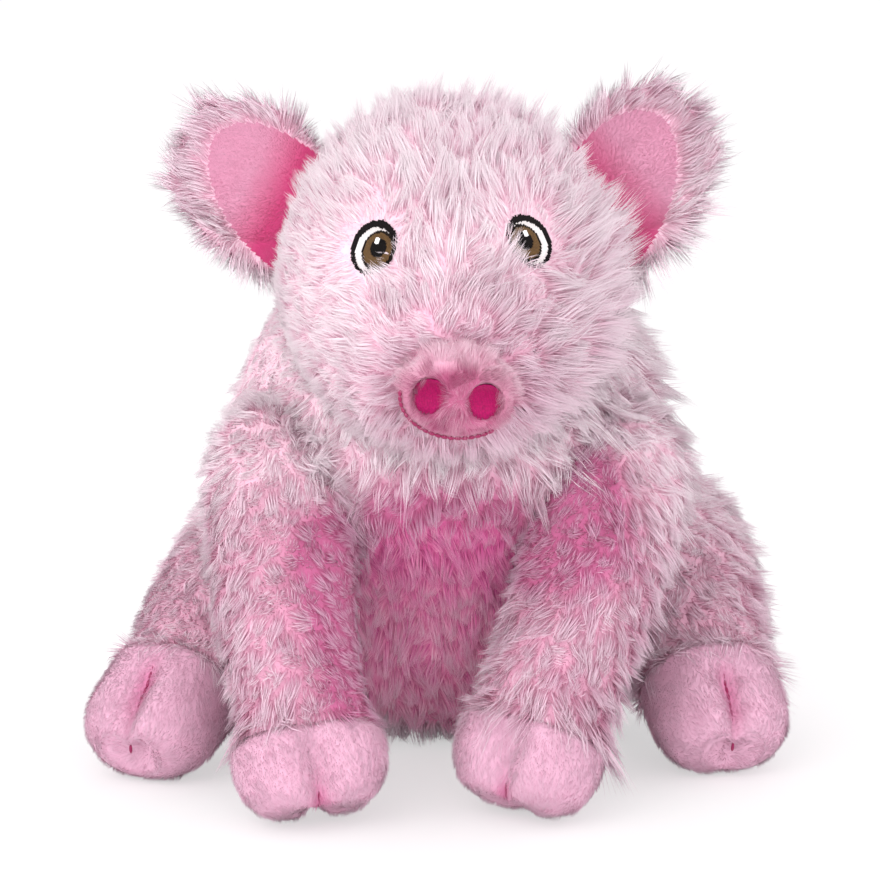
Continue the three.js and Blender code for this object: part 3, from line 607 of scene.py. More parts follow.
def satin_tree():
    """Rows of thread over an oval, laid along its own Y, on a slightly domed cloth."""
    tree, names, given = opened_tree(
        "satin stitches",
        (
            ("Cloth", "Geometry", None),
            ("Half Width", "Float", 0.006),
            ("Half Height", "Float", 0.007),
            ("Thread Radius", "Float", 0.00024),
            ("Cloth Radius", "Float", 0.05),
            ("Seed", "Int", 1),
            ("Finish", "Material", None),
        ),
        "Stitches",
    )
    rows_apart = 1.7
    shortest_row, longest_row = 0.94, 1.03
    half_width, half_height = given["Half Width"], given["Half Height"]
    pitch = number_node(tree, "MULTIPLY", given["Thread Radius"], rows_apart)
    full_width = number_node(tree, "MULTIPLY", half_width, 2.0)
    rows = number_node(tree, "FLOOR", number_node(tree, "DIVIDE", full_width, pitch))
    row_span = number_node(tree, "MULTIPLY", pitch, number_node(tree, "SUBTRACT", rows, 1.0))
    low = number_node(tree, "MULTIPLY", row_span, -0.5)
    line = wired(
        tree,
        "GeometryNodeMeshLine",
        {
            "Count": rows,
            "Start Location": wired(tree, "ShaderNodeCombineXYZ", {0: low}).outputs[0],
            "Offset": wired(tree, "ShaderNodeCombineXYZ", {0: pitch}).outputs[0],
        },
        mode="OFFSET",
    ).outputs[0]
    at = wired(tree, "GeometryNodeInputPosition").outputs[0]
    spot = wired(tree, "ShaderNodeSeparateXYZ", {0: at}).outputs
    out = number_node(tree, "DIVIDE", spot[0], half_width)
    within = number_node(tree, "SUBTRACT", 1.0, number_node(tree, "MULTIPLY", out, out))
    chord = number_node(tree, "SQRT", number_node(tree, "MAXIMUM", within, 0.02))
    uneven = wired(
        tree,
        "FunctionNodeRandomValue",
        {2: shortest_row, 3: longest_row, "Seed": given["Seed"]},
        data_type="FLOAT",
    ).outputs[1]
    reach = number_node(tree, "MULTIPLY", number_node(tree, "MULTIPLY", chord, half_height), uneven)
    thread = wired(
        tree,
        "GeometryNodeMeshCylinder",
        {"Vertices": 6, "Side Segments": 6, "Fill Segments": 1, "Radius": 1.0, "Depth": 2.0},
        fill_type="NGON",
    ).outputs["Mesh"]
    size = wired(
        tree,
        "ShaderNodeCombineXYZ",
        {0: given["Thread Radius"], 1: given["Thread Radius"], 2: reach},
    ).outputs[0]
    placed = wired(
        tree,
        "GeometryNodeInstanceOnPoints",
        {"Points": line, "Instance": thread, "Rotation": (math.pi / 2, 0, 0), "Scale": size},
    ).outputs[0]
    rows_made = wired(tree, "GeometryNodeRealizeInstances", {"Geometry": placed}).outputs[0]
    squares = [number_node(tree, "MULTIPLY", spot[i], spot[i]) for i in range(2)]
    square = number_node(tree, "ADD", *squares)
    drop = number_node(tree, "DIVIDE", square, number_node(tree, "MULTIPLY", given["Cloth Radius"], -2.0))
    domed_rows = wired(
        tree,
        "GeometryNodeSetPosition",
        {"Geometry": rows_made, "Offset": wired(tree, "ShaderNodeCombineXYZ", {2: drop}).outputs[0]},
    ).outputs[0]
    close_tree(tree, domed_rows, given["Finish"])
    return tree, names


satin, satin_inputs = satin_tree()


def vertex_rows(mesh, field="co", kind=float):
    """The places of a mesh's vertices, or their normals, one row to each."""
    rows = np.empty(len(mesh.vertices) * 3, kind)
    mesh.vertices.foreach_get(field, rows)
    return rows.reshape(-1, 3)


def plain_mesh(piece, tree, inputs, finish, sizes, soften=0.0):
    """Puts a tree on a piece and leaves the one plain mesh that it makes. Soft hair shades as its cloth."""
    change = piece.modifiers.new("made", "NODES")
    change.node_group = tree
    for name, value in sizes.items():
        change[inputs[name]] = value
    change[inputs["Finish"]] = finish
    made = bpy.data.meshes.new_from_object(piece.evaluated_get(bpy.context.evaluated_depsgraph_get()))
    piece.modifiers.clear()
    old = piece.data
    piece.data = made
    bpy.data.meshes.remove(old)
    made.name = piece.name
    made.materials.clear()
    made.materials.append(finish)
    facings = None
    if soften and "hair_out" in made.attributes:
        out = np.empty(len(made.vertices) * 3, np.float32)
        made.attributes["hair_out"].data.foreach_get("vector", out)
        out = out.reshape(-1, 3)
        own = vertex_rows(made, "normal", np.float32)
        outward_share = np.clip(((out * own).sum(1, keepdims=True) + 0.5) / 0.9, 0, 1)
        facings = unit(out * soften * outward_share + own)
    spent = [a.name for a in made.attributes if not a.is_required and not a.is_internal]
    for name in spent:
        if name not in ("OFBake", "UVMap"):
            made.attributes.remove(made.attributes[name])
    if facings is not None:
        made.normals_split_custom_set_from_vertices(facings)
    return made


def satin_patch(name, place, side, up, out, half_width, half_height, finish, seed, cloth_radius=0.045):
    """An oval of satin stitches at a place in millimetres, with its own side, up and outward vectors."""
    piece = bpy.data.objects.new(name, bpy.data.meshes.new(name))
    scene.collection.objects.link(piece)
    made = plain_mesh(
        piece,
        satin,
        satin_inputs,
        finish,
        {
            "Half Width": half_width * MM,
            "Half Height": half_height * MM,
            "Cloth Radius": cloth_radius,
            "Seed": seed,
        },
    )
    turn = Matrix([[side[i], up[i], out[i], place[i] * MM] for i in range(3)] + [[0, 0, 0, 1]])
    made.transform(turn)
    made.update()
    return piece


def surface_of(piece):
    """A tree of a piece's faces, to find places on its cloth with."""
    mesh = piece.data
    return BVHTree.FromPolygons([v.co for v in mesh.vertices], [tuple(p.vertices) for p in mesh.polygons])


head_surface = surface_of(head_plush)


def on_head(aside, height):
    """Where the head's cloth lies behind a point of the face, and its outward facing there."""
    hit, facing, _, _ = head_surface.ray_cast(Vector((aside * MM, -0.3, height * MM)), Vector((0, 1, 0)))
    return np.array(hit) / MM, np.array(facing)


eye_half_width = 6.6
eye_half_height = 7.8
eye_layer = 0.32
eye_proud = 0.5
eye_forward_share = 0.2
eye_threads = {
    "outline": thread_material("eye_outline_thread", (26, 18, 20), (8, 5, 6), 0.6, 0.12),
    "iris_rim": thread_material("iris_rim_thread", (34, 24, 18), (12, 8, 6), 0.6, 0.12),
    "white": thread_material("eye_white_thread", (240, 236, 234), (206, 198, 200)),
    "iris": thread_material("eye_iris_thread", (116, 86, 40), (66, 44, 30), 0.5, 0.25),
    "pupil": thread_material("eye_pupil_thread", (16, 10, 10), (4, 2, 2), 0.6, 0.12),
    "light": thread_material("eye_light_thread", (255, 255, 255), (240, 238, 236)),
}
eye_layers = {
    "outline": (1.0, 0.0, 0.0),
    "white": (0.8, 0.06, 0.08),
    "iris_rim": (0.72, 0.3, 0.07),
    "iris": (0.61, 0.3, 0.07),
    "pupil": (0.34, 0.33, 0.0),
    "light": (0.12, 0.2, -0.22),
}
eyes = {
    "eye_right": {"side": -1, "aside": -19.6, "height": 160.5, "lean": math.radians(-12)},
    "eye_left": {"side": 1, "aside": 22.0, "height": 162.0, "lean": math.radians(12)},
}
stitch_seed = 0
for name, eye in eyes.items():
    seat, facing = on_head(eye["aside"], eye["height"])
    out = unit(eye_forward_share * -back_axis + (1 - eye_forward_share) * facing)
    across = unit(np.cross(up_axis, out))
    up = np.cross(out, across)
    across, up = turned(across, out, eye["lean"]), turned(up, out, eye["lean"])
    eye["seat"] = seat
    for step, (layer, (size, inward, below)) in enumerate(eye_layers.items()):
        place = (
            seat
            + out * (eye_proud + eye_layer * step)
            - across * eye["side"] * inward * eye_half_width
            - up * below * eye_half_height
        )
        patch = satin_patch(
            f"{name}_{layer}_stitches",
            place,
            across,
            up,
            out,
            eye_half_width * size,
            eye_half_height * size,
            eye_threads[layer],
            stitch_seed,
        )
        stitch_seed += 1
        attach(patch, "head")
        if layer != "iris_rim":
            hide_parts(f"{name}_{layer}")

# Nostrils: the bottoms of the two pits are lined with satin stitches in a bright pink thread. They
# lie in the plane of the snout and are dished as the pits are.
nostril_seed = 40
nostril_cloth_radius = -0.005
nostril_thread = thread_material("nostril_thread", (206, 14, 112), (128, 4, 74), 0.45, 0.2)
for side, name in ((-1, "nostril_right"), (1, "nostril_left")):
    place = snout_face + snout_side * side * nostril_spread - head_along * nostril_depth
    patch = satin_patch(
        name + "_stitches",
        place,
        snout_side,
        snout_up,
        head_along,
        nostril_half_width,
        nostril_half_height,
        nostril_thread,
        nostril_seed + side,
        nostril_cloth_radius,
    )
    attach(patch, "head")
    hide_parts(name)

# Mouth: a row of short stitches along the lower edge of the snout's disc. The same dark pink thread
# shuts the seam in the back and draws in the hooves.
def stitch_tree():
    """Short stitches end to end along a line: each is a small spun lozenge that dips at its ends."""
    tree, names, given = opened_tree(
        "stitches on a line",
        (
            ("Line", "Geometry", None),
            ("Stitch Length", "Float", 0.0025),
            ("Thread Radius", "Float", 0.0004),
            ("Finish", "Material", None),
        ),
        "Stitches",
    )
    half_stitch = 0.56
    curve = wired(tree, "GeometryNodeMeshToCurve", {"Mesh": given["Line"]}).outputs[0]
    points = wired(
        tree, "GeometryNodeCurveToPoints", {"Curve": curve, "Length": given["Stitch Length"]}, mode="LENGTH"
    )
    lozenge = wired(
        tree, "GeometryNodeMeshUVSphere", {"Segments": 8, "Rings": 8, "Radius": 1.0}
    ).outputs["Mesh"]
    size = wired(
        tree,
        "ShaderNodeCombineXYZ",
        {
            0: given["Thread Radius"],
            1: given["Thread Radius"],
            2: number_node(tree, "MULTIPLY", given["Stitch Length"], half_stitch),
        },
    ).outputs[0]
    placed = wired(
        tree,
        "GeometryNodeInstanceOnPoints",
        {
            "Points": points.outputs["Points"],
            "Instance": lozenge,
            "Rotation": points.outputs["Rotation"],
            "Scale": size,
        },
    ).outputs[0]
    close_tree(tree, placed, given["Finish"])
    return tree, names


stitches, stitch_inputs = stitch_tree()
seam_thread = thread_material("seam_thread", (164, 44, 96), (122, 26, 70), 0.6, 0.3)


def stitched_line(name, points, length, radius):
    """A row of stitches along points given in millimetres."""
    mesh = bpy.data.meshes.new(name)
    line = [tuple(np.asarray(p) * MM) for p in points]
    mesh.from_pydata(line, [(i, i + 1) for i in range(len(line) - 1)], [])
    piece = bpy.data.objects.new(name, mesh)
    scene.collection.objects.link(piece)
    plain_mesh(
        piece,
        stitches,
        stitch_inputs,
        seam_thread,
        {"Stitch Length": length * MM, "Thread Radius": radius * MM},
    )
    return piece


mouth_from_deg = 182
mouth_to_deg = 312
mouth_share = 0.99
mouth_ahead = 1.7
mouth_stitch = 1.8
mouth_thread = 0.55
mouth_places = 40
mouth_line = []
for angle in np.radians(np.linspace(mouth_from_deg, mouth_to_deg, mouth_places)):
    mouth_line.append(
        snout_front
        + head_along * mouth_ahead
        + snout_side * snout_half_width * mouth_share * math.cos(angle)
        + snout_up * snout_half_height * mouth_share * math.sin(angle)
    )
mouth_stitches = stitched_line("mouth_stitches", mouth_line, mouth_stitch, mouth_thread)
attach(mouth_stitches, "head")
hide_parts("mouth_seam")

# Ears: folded cups of plush, wide and round, with a lining of short pile and long fur round the rim.
# Each is sewn to the side of the head along its root, where a deep fold closes the cup.
ear_length = 38.0
ear_half_width = 22.0
ear_inset = 3.0
ear_half_thickness = 7.0
ear_cap = 9.0
ear_widths = np.array([0.86, 1.0, 1.08, 1.02, 0.82])
ear_thicks = np.array([1.0, 1.0, 0.95, 0.85, 0.7])
ear_sunk = 8.0
ear_tilt = math.radians(8)
ear_sweep = math.radians(8)
ear_hollow = 7.0
ear_curl = 5.5
ear_droop = 6.0
ear_steps = 11
ear_around = 112
ear_tip_rings = 12
cloth_thickness = 2.0
cup_rim = 2.5
cup_middle_share = 0.52
cup_fullness = 0.6
cup_edge = 2.0
lining_half_width = 17.0
lining_half_length = 29.0
lining_along = 8.0
lining_low = 6.0
lining_lean = 0.25
ears = {
    "ear_right": {"side": -1, "rise": math.radians(25), "root": np.array([-43.11, -50.0, 168.0])},
    "ear_left": {"side": 1, "rise": math.radians(40), "root": np.array([43.1, -50.0, 168.0])},
}


def ear_frame(ear):
    """An ear's way from root to tip, the way that its cup faces, and across it."""
    along = np.array(
        [
            ear["side"] * math.cos(ear["rise"]) * math.cos(ear_sweep),
            math.sin(ear_sweep),
            math.sin(ear["rise"]) * math.cos(ear_sweep),
        ]
    )
    facing = np.array([0, -math.cos(ear_tilt), math.sin(ear_tilt)])
    facing = unit(facing - along * (facing @ along))
    return along, facing, np.cross(facing, along)


def cupped(points, root, along, facing, wide):
    """An ear's points with its front pushed in to a cup, and its rim rolled forwards."""
    away = points - root
    far, deep, across = away @ along, away @ facing, away @ wide
    middle = (ear_length + ear_cap) * cup_middle_share
    reach = np.hypot(across / (ear_half_width - cup_rim), (far - middle) / (middle + 1))
    bowl = np.clip(1 - reach**2, 0, 1)
    front = np.clip(deep / cup_edge + 0.5, 0, 1)
    pushed = -ear_hollow * bowl**cup_fullness * front
    curl = ear_curl * np.clip(np.abs(across) / ear_half_width, 0, 1.2) ** 2
    return points + np.outer(pushed + curl, facing)


for name, ear in ears.items():
    along, facing, wide = ear_frame(ear)
    root = ear["root"] - along * ear_sunk
    halves = [ear_widths * ear_half_width - ear_inset, ear_thicks * ear_half_thickness - cloth_thickness]
    run = smooth_run(np.stack(halves, 1), ear_steps)
    lower = -wide * np.sign(wide[2])
    rings = []
    for share, (w, t) in zip(np.linspace(0, 1, len(run)), run):
        middle = root + along * ear_length * share + lower * ear_droop * (1 - share) ** 1.5
        rings.append(ring_of(middle, wide, facing, w, t, ear_around))
    tip = domed(
        rings,
        root + along * ear_length,
        along,
        wide,
        facing,
        run[-1, 0],
        run[-1, 1],
        ear_cap - ear_inset,
        ear_tip_rings,
        ear_around,
    )
    plain_rings = np.array(rings)
    rings = [cupped(ring, root, along, facing, wide) for ring in rings]
    ear["centre"] = root + along * (ear_length + ear_cap) * 0.5
    ear["frame"] = (along, facing, lower)

    def in_cup(p, root=root, along=along, facing=facing, lower=lower):
        """Whether a face of the skin belongs to the lining, a tilted oval on the front."""
        away = p - root
        far, deep, across = away @ along, away @ facing, away @ lower
        reach = math.hypot(
            (across - lining_low + lining_lean * far) / lining_half_width,
            (far - lining_along) / lining_half_length,
        )
        return reach < 1 and deep > 0

    ear["back"] = skin_object(name + "_plush", rings, root, tip, lambda p: not in_cup(p), plain_rings)
    ear["lining"] = skin_object(name + "_lining_cloth", rings, root, tip, in_cup, plain_rings)

# Limbs: each is a stuffed tube of plush that leaves the body at a seam, with a hoof of smooth short
# pile sewn on at the wrist or ankle. The cleft between its toes is drawn in from below.
knee_share = 0.42
wrist_share = 0.76
cleft_dip = 0.36
cleft_tip_dip = 0.62
cleft_spread = 0.3
hoof_sunk = 0.6
arm_bow = 5.0
leg_bow = 3.0
limb_steps = 10
limb_around = 56
hoof_cap_rings = 10
hoof_tip_drawn = 5.0
limb_root_cap = 9.0
dimple_spread = 0.3
arm_out = math.radians(55)
arm_rise = math.radians(-4)
arm_reach = shoulder_radius - 9.0
limb_kinds = {
    "arm": {
        "root_length": 15.0,
        "widths": [18.5, 25.0, 23.0, 21.0, 22.0],
        "depths": [17.8, 24.0, 21.25, 18.5, 18.5],
        "cap": 16.0,
        "seam_share": 0.92,
        "end": "_hoof",
    },
    "leg": {
        "root_length": 20.0,
        "widths": [25.9, 35.0, 28.5, 22.0, 21.0],
        "depths": [27.4, 37.0, 27.25, 19.75, 17.5],
        "cap": 17.0,
        "seam_share": 0.8,
        "end": "_foot",
    },
}
limbs = {
    "arm_right": {"side": -1, "foot": np.array([-38.0, -113.0, 18.5]), "dimple": 0.85, "groove": 5.0},
    "arm_left": {"side": 1, "foot": np.array([23.0, -107.0, 18.5]), "dimple": 0.85, "groove": 1.5},
    "leg_right": {"side": -1, "foot": np.array([-84.3, -64.0, 17.5]), "dimple": 0.4, "groove": 0.0},
    "leg_left": {"side": 1, "foot": np.array([79.0, -58.0, 17.5]), "dimple": 0.5, "groove": 1.0},
}
limbs["leg_right"]["pivot"] = np.array([-49.3, 0.0, 47.0])
limbs["leg_left"]["pivot"] = np.array([60.0, 0.0, 47.0])
for name, limb in limbs.items():
    side = limb["side"]
    limb.update(limb_kinds[name[:3]])
    limb["bow"] = unit(np.array([side, 0, 1])) * leg_bow
    if name.startswith("arm"):
        out = np.array(
            [
                side * math.sin(arm_out) * math.cos(arm_rise),
                -math.cos(arm_out) * math.cos(arm_rise),
                math.sin(arm_rise),
            ]
        )
        limb["pivot"] = neck_pivot + out * arm_reach
        limb["bow"] = unit(np.array([side, -1, 1])) * arm_bow


def limb_rings(limb, grow, hoof_grow, between, around):
    """A limb's rings, its two poles and the ring where its hoof begins."""
    pivot, tip, bow = limb["pivot"], limb["foot"], limb["bow"]
    knee = pivot + (tip - pivot) * knee_share + bow
    wrist = pivot + (tip - pivot) * wrist_share + bow * (1 - knee_share)
    root = pivot - unit(knee - pivot) * limb["root_length"]
    stations = np.array(
        [[*p, w, d] for p, w, d in zip([root, pivot, knee, wrist, tip], limb["widths"], limb["depths"])]
    )
    run = smooth_run(stations, between)
    shares = np.linspace(0, 1, len(run))
    seam_share = limb["seam_share"]
    on_hoof = np.clip((shares - seam_share) / 0.02, 0, 1)
    grown = grow + (hoof_grow - grow) * on_hoof
    run[:, 3] += grown
    run[:, 4] += grown
    tangents = unit(np.gradient(run[:, :3], axis=0))
    across = unit(np.cross(up_axis, tip - pivot))
    rings = []
    for row, along, share in zip(run, tangents, shares):
        side = unit(across - along * (across @ along))
        up = np.cross(along, side)
        dip = cleft_dip * np.clip((share - wrist_share) / (1 - wrist_share), 0, 1) ** 1.5
        rings.append(ring_of(row[:3], side, up, row[3], row[4], around, dip, cleft_spread))
    seam_ring = int(np.argmax(shares > seam_share))
    end = domed(
        rings,
        run[-1, :3],
        tangents[-1],
        side,
        up,
        run[-1, 3],
        run[-1, 4],
        limb["cap"] + hoof_grow,
        hoof_cap_rings,
        around,
        (cleft_dip, cleft_tip_dip),
        cleft_spread,
    )
    end = end - tangents[-1] * hoof_tip_drawn
    start = run[0, :3] - tangents[0] * (limb_root_cap + grow)
    return np.array(rings), start, end, seam_ring, tangents


groove_half_width = 3.2
groove_behind = 4.0
groove_high = 5.0
groove_fade = 8.0


def grooved(points, limb, along, side):
    """A hoof's points, drawn in between its two toes, in front and underneath."""
    up = np.cross(along, side)
    away = points - limb["foot"]
    ahead, aside, high = away @ along, away @ side, away @ up
    front = np.clip((ahead + groove_behind) / (limb["cap"] + groove_behind), 0, 1) ** 0.7
    below = np.clip((groove_high - high) / groove_fade, 0, 1)
    drawn = limb["groove"] * np.exp(-((aside / groove_half_width) ** 2)) * front * below
    outward = np.maximum(ahead, 0)[..., None] * along + high[..., None] * up
    return points - unit(outward + 1e-6) * drawn[..., None]


floor_gap = 0.4
floor_give = 1.4


def on_floor(heights):
    """Heights that settle softly on to the floor, where the filling gives."""
    return floor_gap + floor_give * np.logaddexp(0, (heights - floor_gap) / floor_give)


for name, limb in limbs.items():
    rings, start, end, seam_ring, tangents = limb_rings(
        limb, -plush_sunk, -hoof_sunk, limb_steps, limb_around
    )
    aside = unit(np.cross(up_axis, limb["foot"] - limb["pivot"]))
    aside = unit(aside - tangents[-1] * (aside @ tangents[-1]))
    rings[seam_ring:] = grooved(rings[seam_ring:], limb, tangents[-1], aside)
    rings[..., 2] = on_floor(rings[..., 2])
    end[2] = on_floor(end[2])
    limb["rings"], limb["seam_ring"] = rings, seam_ring
    sleeve_end = rings[seam_ring].mean(0)
    limb["sleeve"] = skin_object(name + "_plush", rings[: seam_ring + 1], start, sleeve_end)
    limb["hoof"] = skin_object(name + limb["end"] + "_cloth", rings[seam_ring:], sleeve_end, end)

# Cleft threads: a row of stitches down the middle of each hoof, pulled tight into a dimple at one place.
# Away from the dimple the thread sinks under the pile, as a taut stitch does in soft cloth.
cleft_stitch = 2.4
cleft_thread = 0.5
cleft_sunk = 1.4
cleft_shown = 1.6
for name, limb in limbs.items():
    rings = limb["rings"]
    top = rings.shape[1] // 4
    crease = []
    hoof_rings = rings[limb["seam_ring"] + 1 :]
    for share, ring in zip(np.linspace(0, 1, len(hoof_rings)), hoof_rings):
        outward = unit(ring[top] - ring.mean(0))
        pulled = math.exp(-(((share - limb["dimple"]) / dimple_spread) ** 2))
        crease.append(ring[top] + outward * (cleft_shown * pulled - cleft_sunk))
    limb["crease"] = crease
    cleft = stitched_line(name + "_cleft_stitches", crease, cleft_stitch, cleft_thread)
    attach(cleft, name)
    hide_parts(name + "_cleft_thread")

# Closing seam: once the toy is filled through a gap in the back's seam, the gap is shut by hand with
# a row of ladder stitches in the same thread. It lies on the cloth, between the two halves.
closing_low = 36.0
closing_high = 68.0
closing_stitch = 3.0
closing_thread = 0.6
closing_proud = 0.3
closing_places = 24
torso_surface = surface_of(torso_plush)
closing_line = []
for height in np.linspace(closing_low, closing_high, closing_places):
    hit, _, _, _ = torso_surface.ray_cast(Vector((0, 0.2, height * MM)), Vector((0, -1, 0)))
    closing_line.append(np.array(hit) / MM + back_axis * closing_proud)
closing_stitches = stitched_line("closing_stitches", closing_line, closing_stitch, closing_thread)
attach(closing_stitches, "torso")
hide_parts("closing_seam")

# Tail: a thin tube of short pile with a little filling, which curls once on its way back. It is sewn
# to the rump above the closing seam.
tail_root = np.array([0.0, 48.0, 76.0])
tail_root_radius = 4.5
tail_tip_radius = 2.8
tail_curl_radius = 7.0
tail_reach = 15.0
tail_turns = 1.1
tail_around = 20
tail_tip_rings = 6
tail_sunk = 0.5
tail_root_cap = 2.0
tail_places = 49
tail_share = np.linspace(0, 1, tail_places)
tail_turn = tail_share * tail_turns * 2 * math.pi
tail_line = tail_root + np.stack(
    [
        tail_curl_radius * np.sin(tail_turn),
        tail_reach * tail_share,
        tail_curl_radius * (1 - np.cos(tail_turn)),
    ],
    1,
)
tail_tangents = unit(np.gradient(tail_line, axis=0))
tail_rings = []
for place, along, share in zip(tail_line, tail_tangents, tail_share):
    side = unit(back_axis - along * (back_axis @ along))
    up = np.cross(along, side)
    radius = tail_root_radius + (tail_tip_radius - tail_root_radius) * share - tail_sunk
    tail_rings.append(ring_of(place, side, up, radius, radius, tail_around))
tail_end = domed(
    tail_rings, tail_line[-1], along, side, up, radius, radius, radius, tail_tip_rings, tail_around
)
tail_start = tail_line[0] - tail_tangents[0] * tail_root_cap
tail_plush = skin_object("tail_plush", tail_rings, tail_start, tail_end)

# Neck: the plug of loose white fibre that the head turns on. It fills the collar of the torso and the
# hollow of the head, wholly inside the toy, and nothing but the filling round it holds it.
neck_radius = 14.5
neck_half_length = 12.0
neck_cap = 0.5
neck_waist_share = 0.08
neck_lean = math.radians(20)
neck_around = 32
neck_ring_count = 13
neck_axis = unit(np.array([0, -math.sin(neck_lean), math.cos(neck_lean)]))
neck_side = np.cross(neck_axis, side_axis)
neck_middle = neck_pivot + neck_axis * shoulder_radius
neck_rings = []
for share in np.linspace(0, 1, neck_ring_count):
    radius = neck_radius * (1 - neck_waist_share * math.cos(share * 2 * math.pi))
    centre = neck_middle + neck_axis * neck_half_length * (2 * share - 1)
    neck_rings.append(ring_of(centre, side_axis, -neck_side, radius, radius, neck_around))
neck_pole = neck_axis * (neck_half_length + neck_cap)
neck_filling = skin_object("neck_filling", neck_rings, neck_middle - neck_pole, neck_middle + neck_pole)
neck_filling.data.materials.append(thread_material("filling_fibre", (248, 246, 242), (232, 229, 224), 0.9))
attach(neck_filling, "neck")
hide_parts("neck_stuffing")

# The pile: every hair is a tapered strand set in the cloth. Hairs lie with the nap, gather in locks
# and run from deep rose roots to frosted tips, with longer and thicker guard hairs among them. It is
# grown once all the covers are cut, since none grows where one cover lies inside another.
def coat_material(name, stops_pale, stops_deep, roughness, sheen):
    """Hair coloured from root to tip, between a pale and a deep coat by each hair's own tone."""
    material = bare_material(name)
    tree = material.node_tree
    place = wired(tree, "ShaderNodeUVMap", uv_map="OFBake")
    split = wired(tree, "ShaderNodeSeparateXYZ", {0: place.outputs[0]})
    ramps = []
    for stops in (stops_deep, stops_pale):
        ramp = wired(tree, "ShaderNodeValToRGB", {0: split.outputs["Y"]})
        elements = ramp.color_ramp.elements
        while len(elements) < len(stops):
            elements.new(0.5)
        for element, (position, colour) in zip(elements, stops):
            element.position = position
            element.color = linear(*colour)
        ramps.append(ramp)
    mix = wired(
        tree,
        "ShaderNodeMix",
        {"Factor": split.outputs["X"], 6: ramps[0].outputs[0], 7: ramps[1].outputs[0]},
        data_type="RGBA",
    )
    shader = wired(
        tree,
        "ShaderNodeBsdfPrincipled",
        {
            "Base Color": mix.outputs[2],
            "Roughness": roughness,
            "Specular IOR Level": 0.25,
            "Sheen Weight": sheen,
            "Sheen Roughness": 0.5,
            "Sheen Tint": linear(255, 235, 242),
        },
    )
    wired(tree, "ShaderNodeOutputMaterial", {"Surface": shader.outputs[0]})
    return material


